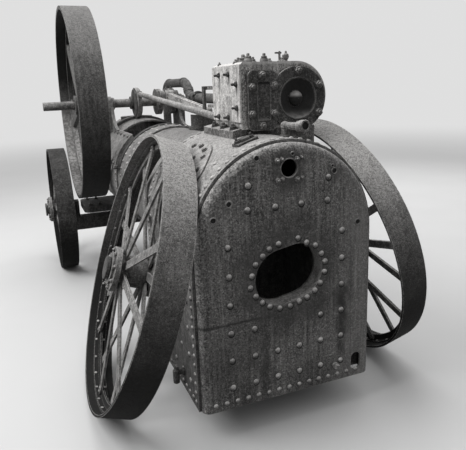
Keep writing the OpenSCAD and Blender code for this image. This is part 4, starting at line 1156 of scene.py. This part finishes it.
    def build_backhead(self) -> None:
        """Sets the stays and the fire hole's rivets, with a dark disc of painted shadow below and to the
        right of each.
        """
        shadow_discs = Forge("backhead_stains", RIVET_SHADOW, "rusted_plate")
        for name, places, radius, rise in (
            ("backhead_stays", self.stay_places(), self.stay_r, self.stay_rise),
            ("fire_hole_rivets", self.ring_rivets, self.ring_rivet_r, self.ring_rivet_rise),
        ):
            heads = Forge(name, HEADS, "rusted_plate")
            for x, z in places:
                heads.rivet(spot(x, 0, z), BACK, radius, rise)
                crescent = spot(x + self.stain_shift[0], 0, z + self.stain_shift[1])
                shadow_discs.disc(crescent, BACK, radius, self.shadow_disc, 20)
            heads.pour()
        shadow_discs.pour()

    def build_fittings(self) -> None:
        """Sets the paired studs round the top hole, the plug holes and the square plug by the mud hole, with
        a near-black disc of painted shade in each plug hole.
        """
        fittings = Forge("backhead_fittings", NUTS, "rusted_plate")
        for x, z in self.hole_studs:
            for shift, radius in self.stud_pair:
                fittings.nut(spot(x + shift, 0, z + shift * self.stud_slope), BACK, radius, self.stud_reach)
        at = seat(spot(self.plug_place[0], 0, self.plug_place[1]), BACK)
        fittings.ring_stack(self.plug_foot, 18, at)
        fittings.ring_stack(self.plug_square, 4, at, self.plug_twist)
        for x, z, radius in self.plug_holes:
            fittings.rim(spot(x, 0, z), BACK, radius, *self.plug_rim)
        x, z, radius = self.top_hole
        fittings.rim(spot(x, 0, z), BACK, radius, *self.top_rim)
        fittings.pour()
        hole_shades = Forge("plug_bores", HOLE_SHADE, "rusted_plate")
        for x, z, radius in self.plug_holes:
            hole_shades.disc(spot(x, 0, z), BACK, radius, self.hole_shade_disc, 24)
        hole_shades.pour()

    def build_seams(self) -> None:
        """Sets the rivet rows of the wrapper's edges and foot, and the stays of its sides and crown."""
        foot_z = self.foot_z + self.foot_rise
        seams = Forge("wrapper_seam_rivets", SEAM_HEADS, "pale_plate")
        for y in self.seam_ys:
            for x, z, out in self.outline_places(foot_z):
                seams.rivet(spot(x, y, z), out, self.rivet_r)
        for side in Side:
            for y in steps(*self.foot_row):
                seams.rivet(spot(side.value * self.shell_r, y, foot_z), side.out(), self.rivet_r)
        seams.pour()
        face = Forge("backhead_edge_rivets", HEADS, "rusted_plate")
        for x in steps(*self.edge_row):
            face.rivet(spot(x, 0, self.foot_z + self.edge_rise), BACK, self.rivet_r)
        face.pour()
        sides = Forge("side_stays", SEAM_HEADS, "pale_plate")
        for side in Side:
            for z in self.stay_zs:
                for y in steps(*self.side_row):
                    foot = spot(side.value * self.shell_r, y, z)
                    sides.rivet(foot, side.out(), self.stay_r, self.side_rise)
        for degrees in self.crown_degrees:
            out = outward(math.radians(degrees))
            for y in steps(*self.crown_row):
                sides.rivet(spot(0, y, self.arch_z) + out * self.shell_r, out, self.stay_r, self.side_rise)
        sides.pour()

    def lay_on_crown(self, across: float, along: float, height: float = 0.0) -> Vector:
        """Gives a point on the wrapper's crown.

        Args:
            across: distance from the centre line, measured round the crown.
            along: distance from the backhead.
            height: height over the plate.

        Returns:
            The point.
        """
        return spot(0, along, self.arch_z) + outward(across / self.shell_r) * (self.shell_r + height)

    def crown_way(self, foot: Vector) -> Vector:
        """The direction away from the crown's axis at a point on the crown."""
        return (foot - Vector((0, foot.y, self.arch_z))).normalized()

    def build_crown(self) -> None:
        """Lays the shoulder plate with its nuts on the crown's left side."""
        plate = Forge("shoulder_plate", CROWN, "pale_plate")
        outline = list(self.shoulder)
        for _ in range(2):
            outline = [(a[0] * share + b[0] * (1 - share), a[1] * share + b[1] * (1 - share))
                       for a, b in zip(outline, outline[1:] + outline[:1]) for share in (0.75, 0.25)]
        plate.sheet(outline, self.lay_on_crown, self.shoulder_t)
        plate.pour()
        nuts = Forge("shoulder_plate_nuts", NUTS, "pale_plate")
        for across, along in self.shoulder_nuts:
            foot = self.lay_on_crown(across, along, self.shoulder_t)
            nuts.nut(foot, self.crown_way(foot), *self.shoulder_nut)
        nuts.pour()

    def build_flange(self) -> None:
        """Bolts the small dark flange down beside the crown's middle."""
        foot = self.lay_on_crown(*self.flange_place)
        up = self.crown_way(foot)
        start, end = (self.lay_on_crown(*place) for place in self.flange_ends)
        along = end - start
        along = (along - up * along.dot(up)).normalized()
        at = Matrix.Translation(foot) @ Matrix((along, up.cross(along), up)).transposed().to_4x4()
        flange = Forge("crown_flange", CASTING, "dark_casting")
        for block in self.flange_blocks:
            flange.block(*block, at)
        flange.pour()
        bolts = Forge("crown_flange_bolts", STUDS, "dark_casting")
        for place in self.flange_bolts:
            bolts.nut(at @ Vector(place), up, *self.flange_bolt)
        bolts.pour()

    def build_elbow_mouth(self) -> None:
        """Screws the socket with its wide bore onto the end of the steam elbow, and fills the bore with a
        near-black plug of painted shade.
        """
        at = seat(spot(*self.mouth_place), Vector(self.mouth_way))
        mouth = Forge("elbow_mouth", ELBOW, "pale_plate")
        mouth.hoop(self.mouth_socket, 40, at)
        mouth.pour()
        bore_shade = Forge("elbow_bore", HOLE_SHADE, "pale_plate")
        bore_shade.ring_stack(self.mouth_bore_shade, 32, at)
        bore_shade.pour()

    def build_drain(self) -> None:
        """Screws the small drain cock into the wrapper low on the left."""
        cock = Forge("drain_cock", STUDS, "forged_steel")
        foot = spot(-self.shell_r, *self.drain_yz)
        body = Matrix.Translation(foot + Side.LEFT.out() * self.drain_reach)
        cock.ring_stack(self.drain_stem, 16, seat(foot, Side.LEFT.out()))
        cock.ring_stack(self.drain_body, 14, body)
        cock.block(*self.drain_handle, body)
        cock.pour()

    def build(self) -> None:
        """Builds the firebox's dressing."""
        self.build_backhead()
        self.build_fittings()
        self.build_seams()
        self.build_crown()
        self.build_flange()
        self.build_elbow_mouth()
        self.build_drain()


@dataclass(frozen=True)
class HeadCircle:
    """A circle of heads on the smokebox's front, left open where the door's straps lie."""

    radius: float
    count: int
    head_r: float
    stand: float
    strap_x: float
    strap_zs: Pair

    def places(self) -> Iterable[Pair]:
        """Yields the heads' places.

        Returns:
            X and Z of each head, from the circle's middle.
        """
        low, high = self.strap_zs
        for turn in turns(self.count):
            z, x = polar(self.radius, turn)
            if x < self.strap_x or not low < abs(z) < high:
                yield x, z


@dataclass
class Boiler:
    """The barrel, strap band and smokebox with their seams."""

    axis_z: float = 0.865
    rivet_r: float = 0.0115
    rivet_pitch: float = 0.052
    barrel_rows: tuple[Pair, ...] = ((0.370, 0.83), (0.382, 1.655), (0.382, 1.795))
    smoke_r: float = 0.394
    smoke_count: int = 46
    smoke_rows: tuple[Pair, Pair] = ((1.918, 0.2), (3.028, 2.0))
    front_circle: HeadCircle = HeadCircle(0.348, 32, 0.0105, 0.0, 0.22, (0.05, 0.19))
    door_circle: HeadCircle = HeadCircle(0.232, 28, 0.0085, 0.0123, 0.16, (0.08, 0.16))
    strap_heads: tuple[Pair, ...] = ((0.203, -0.120), (0.232, -0.120), (0.203, 0.120), (0.232, 0.120))
    strap_head_r: float = 0.0095
    strap_stand: float = 0.0233
    handle_stand: float = 0.0823
    handle_nut: Pair = (0.022, 0.6)
    foot_r: float = 0.41
    foot_ys: tuple[float, ...] = (1.94, 2.07, 2.20, 2.33, 2.46, 2.58)
    foot_inner: tuple[tuple[Side, float], ...] = ((Side.LEFT, 0.262), (Side.RIGHT, 0.312))
    foot_inset: float = 0.04
    foot_degrees: float = 72.0
    foot_bolt_r: float = 0.012
    strap_place: Spot = (0.3963, 1.855, 0.970)
    strap_nut: Pair = (0.015, 0.8)

    def build_seams(self) -> None:
        """Sets the rivet rows round the barrel and the smokebox."""
        seams = Forge("barrel_rivets", SEAM_HEADS, "pale_plate")
        for radius, y in self.barrel_rows:
            for turn in turns(round(math.tau * radius / self.rivet_pitch)):
                seams.rivet(spot(0, y, self.axis_z) + outward(turn) * radius, outward(turn), self.rivet_r)
        seams.pour()
        smoke = Forge("smokebox_rivets", SEAM_HEADS, "rusted_plate")
        for turn in turns(self.smoke_count):
            out = outward(turn)
            for y, highest in self.smoke_rows:
                if out.z < highest:
                    smoke.rivet(spot(0, y, self.axis_z) + out * self.smoke_r, out, self.rivet_r)
        smoke.pour()

    def build_front(self) -> None:
        """Sets the heads on the smokebox's front plate and on its door, and the nut of the door's handle."""
        face_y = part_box("smokebox")[1].y
        plate = Forge("smokebox_front_rivets", SEAM_HEADS, "rusted_plate")
        door = Forge("smokebox_door_rivets", SEAM_HEADS, "rusted_plate", "smokebox_door")
        for forge, circle in ((plate, self.front_circle), (door, self.door_circle)):
            for x, z in circle.places():
                forge.rivet(Vector((x, face_y + circle.stand, self.axis_z + z)), AHEAD, circle.head_r)
        for x, z in self.strap_heads:
            door.rivet(Vector((x, face_y + self.strap_stand, self.axis_z + z)), AHEAD, self.strap_head_r)
        plate.pour()
        door.pour()
        handle = Forge("smokebox_door_nut", NUTS, "rusted_plate", "smokebox_door")
        handle.nut(Vector((0, face_y + self.handle_stand, self.axis_z)), AHEAD, *self.handle_nut)
        handle.pour()

    def build_bolts(self) -> None:
        """Sets the bolts of the bearings' feet and of the strap band."""
        foot = Forge("bearing_foot_bolts", NUTS, "dark_casting")
        for side, inner in self.foot_inner:
            start = math.asin(inner / self.foot_r)
            for y in self.foot_ys:
                for turn in (start + self.foot_inset, math.radians(self.foot_degrees)):
                    out = outward(side.value * turn)
                    foot.nut(spot(0, y, self.axis_z) + out * self.foot_r, out, self.foot_bolt_r)
        foot.pour()
        strap = Forge("strap_bolts", NUTS, "dark_casting")
        x, y, z = self.strap_place
        for side in Side:
            strap.nut(spot(side.value * x, y, z), UP, *self.strap_nut)
        strap.pour()

    def build(self) -> None:
        """Builds the boiler's rivets and bolts."""
        self.build_seams()
        self.build_front()
        self.build_bolts()


@dataclass
class Cylinder:
    """The cylinder with the nuts of its covers, saddle and valve chest, and the studs on its top."""

    axis: Pair = (0.205, 1.434)
    face_y: float = 0.2897
    side_x: float = -0.0793
    top_z: float = 1.600
    cover_nuts: tuple[Pair, ...] = (
        (.205, 1.559), (.311, 1.493), (.312, 1.366), (.082, 1.495), (.080, 1.372), (.205, 1.309))
    cover_nut: Pair = (0.0175, 0.4)
    chest_nuts: tuple[Pair, ...] = ((.023, 1.542), (-.027, 1.491), (-.029, 1.374), (.022, 1.320))
    chest_nut: Pair = (0.0165, 0.5)
    lip: Profile = ((0.0905, -0.004), (0.0975, -0.001), (0.0965, 0.0022), (0.0935, 0.0034), (0.0912, 0.0018))
    side_nut: Pair = (0.0115, 1.5)
    # x, y, radius of the nut and rise of the boss under it
    top_studs: tuple[tuple[float, float, float, float], ...] = (
        (-.055, .400, .011, .000), (-.060, .590, .009, .000), (.060, .640, .015, .014),
        (.033, .516, .018, .016), (.028, .446, .015, .022), (.080, .505, .013, .012),
        (.101, .426, .015, .020), (.118, .470, .014, .008), (.170, .560, .014, .010),
        (.235, .487, .015, .016), (.220, .610, .014, .008))
    cock_xy: Pair = (0.171, 0.405)
    cock_stem: Profile = ((0.010, -0.003), (0.010, 0.006), (0.0055, 0.010), (0.0055, 0.046), (0.004, 0.050))
    cock_handle: Bar = ((-0.024, -0.004, 0.038), (0.010, 0.004, 0.046), 0.002)
    cup_xy: Pair = (0.215, 0.425)
    cup: Profile = ((0.011, -0.003), (0.011, 0.006), (0.007, 0.009), (0.012, 0.016), (0.0155, 0.026),
                    (0.013, 0.036), (0.006, 0.041), (0.0045, 0.050), (0.003, 0.052))
    saddle_nuts: tuple[Pair, ...] = (
        (-.092, .36), (-.092, .48), (-.092, .60), (.30, .36), (.30, .5), (.30, .62))
    saddle_nut: Pair = (0.018, 0.6)
    saddle_r: float = 0.464
    arch_z: float = 0.852

    def build_faces(self) -> None:
        """Sets the nuts of the cylinder cover and of the two chest covers, and the lip round the dish."""
        face = Forge("cylinder_cover_nuts", NUTS, "dark_casting")
        for places, size in ((self.cover_nuts, self.cover_nut), (self.chest_nuts, self.chest_nut)):
            for x, z in places:
                face.nut(spot(x, self.face_y, z), BACK, *size)
        face.pour()
        lips = Forge("cover_lips", CASTING, "dark_casting")
        lips.hoop(self.lip, 72, seat(spot(self.axis[0], self.face_y, self.axis[1]), BACK))
        lips.pour()
        side = Forge("side_cover_studs", STUDS, "forged_steel")
        for y, z in SIDE_STUDS:
            side.nut(spot(self.side_x, y, z), Side.LEFT.out(), *self.side_nut)
        side.pour()

    def build_top(self) -> None:
        """Sets the studs on the block's top, and the small cock and the oil cup among them."""
        top = Forge("cylinder_top_studs", NUTS, "dark_casting")
        for x, y, size, rise in self.top_studs:
            foot = spot(x, y, self.top_z)
            if rise:
                top.ring_stack([(size * 1.35, SUNK), (size * 1.35, rise * 0.6), (size * 1.1, rise)], 14,
                               Matrix.Translation(foot))
            top.nut(foot + UP * (rise - 0.002), UP, size, 0.8)
        top.pour()
        cock = Forge("cylinder_top_cock", FORGING, "forged_steel")
        foot = Matrix.Translation(spot(*self.cock_xy, self.top_z))
        cock.ring_stack(self.cock_stem, 12, foot)
        cock.block(*self.cock_handle, foot)
        cock.ring_stack(self.cup, 14, Matrix.Translation(spot(*self.cup_xy, self.top_z)))
        cock.pour()

    def build_saddle(self) -> None:
        """Sets the nuts of the saddle's flange."""
        saddle = Forge("saddle_nuts", STUDS, "pale_plate")
        for x, y in self.saddle_nuts:
            out = outward(math.asin(x / self.saddle_r))
            saddle.nut(spot(0, y, self.arch_z) + out * self.saddle_r, out, *self.saddle_nut)
        saddle.pour()

    def build(self) -> None:
        """Sets the nuts and studs."""
        self.build_faces()
        self.build_top()
        self.build_saddle()


@dataclass
class Crank:
    """The bolts of the crankshaft's bearings, of the rods and of the exhaust pipe, and the flywheel's key."""

    cap_xs: Pair = (-0.282, 0.330)
    cap_ys: Pair = (-0.052, 0.052)
    cap_pair: Pair = (-0.016, 0.016)
    cap_rise: float = 0.020
    cap_bolt: Pair = (0.012, 0.9)
    strap_xs: Pair = (-0.052, -0.036)
    strap_yz: Pair = (-0.034, -0.124)
    strap_bolt: Pair = (0.009, 0.8)
    big_end_xs: Pair = (-0.020, 0.020)
    big_end_yz: Pair = (-0.075, -0.006)
    big_end_way: Spot = (0, -0.2, 1)
    big_end_nut: Pair = (0.013, 0.9)
    pipe_place: Spot = (0.300, 2.010, 1.418)
    pipe_circle_r: float = 0.045
    pipe_bolt: Pair = (0.008, 0.5)
    hub_face_x: float = -0.551
    key: Bar = ((-0.026, -0.010, 0.028), (0.006, 0.010, 0.046), 0.003)

    def build_caps(self) -> None:
        """Sets the bolts of the bearing caps."""
        caps = Forge("bearing_cap_bolts", NUTS, "dark_casting")
        for x in self.cap_xs:
            for dy in self.cap_ys:
                for dx in self.cap_pair:
                    caps.nut(spot(x + dx, SHAFT_Y + dy, SHAFT_Z + self.cap_rise), UP, *self.cap_bolt)
        caps.pour()

    def build_rods(self) -> None:
        """Sets the bolts of the eccentric's strap and the nuts of the connecting rod's big end."""
        rods = Forge("rod_bolts", NUTS, "forged_steel")
        for x in self.strap_xs:
            rods.nut(spot(x, SHAFT_Y + self.strap_yz[0], SHAFT_Z + self.strap_yz[1]), DOWN, *self.strap_bolt)
        rod_low, rod_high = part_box("connecting_rod")
        middle = Vector(((rod_low.x + rod_high.x) / 2, rod_high.y, rod_high.z))
        for dx in self.big_end_xs:
            rods.nut(middle + Vector((dx, *self.big_end_yz)), Vector(self.big_end_way).normalized(),
                     *self.big_end_nut)
        rods.pour()

    def build_pipe(self) -> None:
        """Sets the bolts of the exhaust pipe's flange."""
        pipe = Forge("pipe_flange_bolts", NUTS, "dark_casting")
        for turn in turns(4):
            across, rise = polar(self.pipe_circle_r, turn)
            pipe.nut(spot(*self.pipe_place) + Vector((across, 0, rise)), BACK, *self.pipe_bolt)
        pipe.pour()

    def build_key(self) -> None:
        """Drives the flywheel's key in from the outside of its hub."""
        key = Forge("flywheel_key", FORGING, "flywheel_iron")
        shaft = spot(self.hub_face_x, SHAFT_Y, SHAFT_Z)
        low, high, worn = self.key
        key.block(shaft + Vector(low), shaft + Vector(high), worn)
        key.pour()

    def build(self) -> None:
        """Sets the bolts of the bearings, rods and pipe, and the flywheel's key."""
        self.build_caps()
        self.build_rods()
        self.build_pipe()
        self.build_key()


@dataclass
class Wheel:
    """One road wheel: the rivets of its rim and spokes and the bolts of its hub."""

    name: str
    radius: float
    pairs: int
    rim_t: float = 0.012
    tee_t: float = 0.008
    spoke_face: float = 0.0163
    spoke_heads: Pair = (-0.011, -0.029)
    spoke_head_r: float = 0.0085
    rim_zs: Pair = (-0.020, 0.020)
    rim_head_r: float = 0.0075
    rim_heads: int = 4
    hub_z: float = 0.104
    hub_circle_r: float = 0.09
    hub_bolts: int = 8
    hub_bolt: Pair = (0.010, 0.5)

    def place(self) -> Matrix:
        """Works out the wheel's frame, with Z outboard along its axle.

        Returns:
            The frame as a 4x4 matrix.
        """
        joint = next(j for j in frame["joints"] if j["name"] == f"{self.name}_turn")
        axis, middle = Vector(joint["axis"]), Vector(joint["pos_m"])
        lean = math.asin(axis.z)
        toe = math.atan2(axis.y, abs(axis.x))
        turn = (Matrix.Rotation(toe, 4, "Z") @ Matrix.Rotation(-lean, 4, "Y")
                @ Matrix.Rotation(math.pi / 2, 4, "Y"))
        mirror = Matrix.Scale(-1, 4, Vector((1, 0, 0))) if axis.x < 0 else Matrix.Identity(4)
        return Matrix.Translation(middle) @ mirror @ turn

    def build(self) -> None:
        """Sets the rivets and bolts of the wheel."""
        at = self.place()
        spin = at.to_3x3()
        body = self.name.replace("_", "_wheel_")
        inner = self.radius - self.rim_t - self.tee_t
        rivets = Forge(f"{self.name}_rivets", SEAM_HEADS, "wheel_iron", body)
        for k in range(2 * self.pairs):
            sign = (1, -1)[k % 2]
            for reach in self.spoke_heads:
                head = polar(inner + reach, math.pi * k / self.pairs)
                rivets.rivet(at @ Vector((*head, sign * self.spoke_face)), spin @ Vector((0, 0, sign)),
                             self.spoke_head_r)
        for turn in turns(self.pairs * self.rim_heads):
            for z in self.rim_zs:
                rivets.rivet(at @ Vector((*polar(inner, turn), z)), spin @ Vector((*polar(-1.0, turn), 0)),
                             self.rim_head_r)
        rivets.pour()
        bolts = Forge(f"{self.name}_hub_bolts", NUTS, "wheel_iron", body)
        for turn in turns(self.hub_bolts):
            bolts.nut(at @ Vector((*polar(self.hub_circle_r, turn), self.hub_z)), spin @ UP, *self.hub_bolt)
        bolts.pour()


@dataclass
class Undercarriage:
    """The bolts of the hind axles' plates and of the bolster."""

    plate_x: float = 0.4423
    plate_ys: tuple[tuple[Side, float], ...] = ((Side.LEFT, 0.521), (Side.RIGHT, 0.578))
    plate_z: float = 0.590
    plate_pitch: float = 0.1
    bolster_xs: Pair = (0.42, 0.50)
    bolster_ys: Pair = (2.70, 2.96)
    bolster_z: float = 0.541
    bolt: Pair = (0.016, 0.6)

    def build(self) -> None:
        """Sets the bolts of the hind axle plates and the bolster."""
        bolts = Forge("axle_plate_bolts", NUTS, "undercarriage_iron")
        for side, y in self.plate_ys:
            for dy in (-self.plate_pitch, 0, self.plate_pitch):
                for dz in (-self.plate_pitch, self.plate_pitch):
                    foot = spot(side.value * self.plate_x, y + dy, self.plate_z + dz)
                    bolts.nut(foot, side.out(), *self.bolt)
        bolts.pour()
        top = Forge("bolster_bolts", NUTS, "undercarriage_iron")
        for side in Side:
            for y in self.bolster_ys:
                for x in self.bolster_xs:
                    top.nut(spot(side.value * x, y, self.bolster_z), UP, *self.bolt)
        top.pour()


@dataclass
class Lamp:
    """A soft square lamp."""

    name: str
    place: Spot
    aim: Spot
    size: float
    power: float

    def build(self) -> None:
        """Hangs the lamp."""
        data = bpy.data.lights.new(self.name, "AREA")
        data.size = self.size
        data.energy = self.power
        lamp = bpy.data.objects.new(self.name, data)
        place = Vector(self.place)
        turn = (Vector(self.aim) - place).to_track_quat("-Z", "Y").to_matrix().to_4x4()
        lamp.matrix_world = Matrix.Translation(place) @ turn
        bpy.context.scene.collection.objects.link(lamp)


@dataclass
class Studio:
    """The pale floor, the backdrop, the soft lamps and the camera."""

    camera_place: Spot = (-1.001, -3.517, 1.500)
    yaw: float = -0.3795
    pitch: float = math.radians(13.7)
    roll: float = -0.0377
    sensor_mm: float = 36.0
    focal_px: float = 522.39
    frame_px: float = 466.0
    drop_px: float = -11.75
    zenith: float = 0.72
    zenith_from: float = 0.9
    horizon: float = 0.15
    backdrop: float = 0.74
    floor_pale: float = 0.60
    floor_dull: float = 0.13
    floor_half: float = 60.0
    fade_from: float = 4.0
    fade_to: float = 16.0
    lamps: tuple[Lamp, ...] = (
        Lamp("key_lamp", (-4.6, -0.6, 5.2), (0, -0.2, 0.9), 4.0, 330),
        Lamp("top_lamp", (0.3, 0.9, 7.5), (0, 0, 1.0), 5.0, 190),
        Lamp("fill_lamp", (4.6, 2.8, 4.2), (0, 0.2, 0.9), 4.0, 110),
    )

    def build_camera(self) -> None:
        """Sets the camera where the photograph was taken from."""
        level = math.cos(self.pitch)
        ahead = Vector((-math.sin(self.yaw) * level, math.cos(self.yaw) * level, -math.sin(self.pitch)))
        right = Vector((math.cos(self.yaw), math.sin(self.yaw), 0))
        up = right.cross(ahead)
        across = math.cos(self.roll) * right + math.sin(self.roll) * up
        over = -math.sin(self.roll) * right + math.cos(self.roll) * up
        data = bpy.data.cameras.new("camera")
        data.sensor_fit = "HORIZONTAL"
        data.sensor_width = self.sensor_mm
        data.lens = self.sensor_mm * self.focal_px / self.frame_px
        data.shift_y = self.drop_px / self.frame_px
        data.clip_end = 200
        camera = bpy.data.objects.new("camera", data)
        turn = Matrix((across, over, -ahead)).transposed().to_4x4()
        camera.matrix_world = Matrix.Translation(Vector(self.camera_place)) @ turn
        bpy.context.scene.collection.objects.link(camera)
        bpy.context.scene.camera = camera

    def build_floor(self) -> None:
        """Lays the floor, pale and plain, and lets it fade into the backdrop far away."""
        mesh = bmesh.new()
        bmesh.ops.create_grid(mesh, x_segments=1, y_segments=1, size=self.floor_half)
        data = bpy.data.meshes.new("floor")
        mesh.to_mesh(data)
        mesh.free()
        floor = bpy.data.objects.new("floor", data)
        bpy.context.scene.collection.objects.link(floor)
        made = bpy.data.materials.new("studio_floor")
        sheet = NodeSheet(made)
        level = sheet.plus(sheet.flecks(1.2, 4, 0.5, 0.3, 0.7, -0.008, 0.008), self.floor_pale)
        colour = sheet.add("ShaderNodeCombineColor", {0: level, 1: level, 2: level})
        pale = sheet.add("ShaderNodeBsdfDiffuse", {"Color": colour.outputs[0]})
        dull = sheet.add("ShaderNodeBsdfDiffuse", {"Color": grey(self.floor_dull)})
        glow = sheet.add("ShaderNodeEmission", {"Color": grey(self.backdrop)})
        x, y, _ = sheet.axes()
        reach = sheet.distance((x, 0.0), (y, 0.0))
        far = sheet.layer(sheet.spread(reach, self.fade_from, self.fade_to), pale, glow)
        mix = sheet.layer(sheet.seen(), dull, far)
        sheet.add("ShaderNodeOutputMaterial", {0: mix.outputs[0]})
        data.materials.append(made)

    def build_sky(self) -> None:
        """Makes the sky: brightest overhead, with a plain pale backdrop where it is seen."""
        world = bpy.data.worlds.new("sky")
        bpy.context.scene.world = world
        sheet = NodeSheet(world)
        climb = sheet.add("ShaderNodeMapRange", {
            "Value": sheet.split("Generated")[2], "From Min": 0.0, "From Max": self.zenith_from,
            "To Min": self.horizon, "To Max": self.zenith})
        light = sheet.add("ShaderNodeBackground", {"Color": grey(1.0), "Strength": climb.outputs[0]})
        plain = sheet.add("ShaderNodeBackground", {"Color": grey(self.backdrop)})
        mix = sheet.layer(sheet.seen(), light, plain)
        sheet.add("ShaderNodeOutputWorld", {0: mix.outputs[0]})

    def build(self) -> None:
        """Builds the studio."""
        bpy.context.scene.view_settings.view_transform = "Standard"
        self.build_camera()
        self.build_floor()
        self.build_sky()
        for lamp in self.lamps:
            lamp.build()


def node_finish(name: str) -> RustedIron:
    """Looks up a node's finish.

    Args:
        name: the node.

    Returns:
        Its finish.
    """
    if name in NODE_FINISH:
        return NODE_FINISH[name]
    if "rim" in name:
        return LOW_TYRE if name.startswith("front") else TYRE
    return SPOKE


def main() -> None:
    """Builds the studio and dresses the engine, piece by piece."""
    logging.basicConfig(level=logging.INFO, format="%(name)s: %(message)s")
    Studio().build()
    for name in frame["nodes"]:
        dress_node(name, node_finish(name))
    for part in (
        Firebox(), Boiler(), Cylinder(), Crank(), Undercarriage(), Wheel("hind_left", 0.660, 9),
        Wheel("hind_right", 0.660, 9), Wheel("front_left", 0.517, 7), Wheel("front_right", 0.517, 7),
    ):
        part.build()
        LOG.info("%s finished", type(part).__name__)


if __name__ == "__main__":
    main()
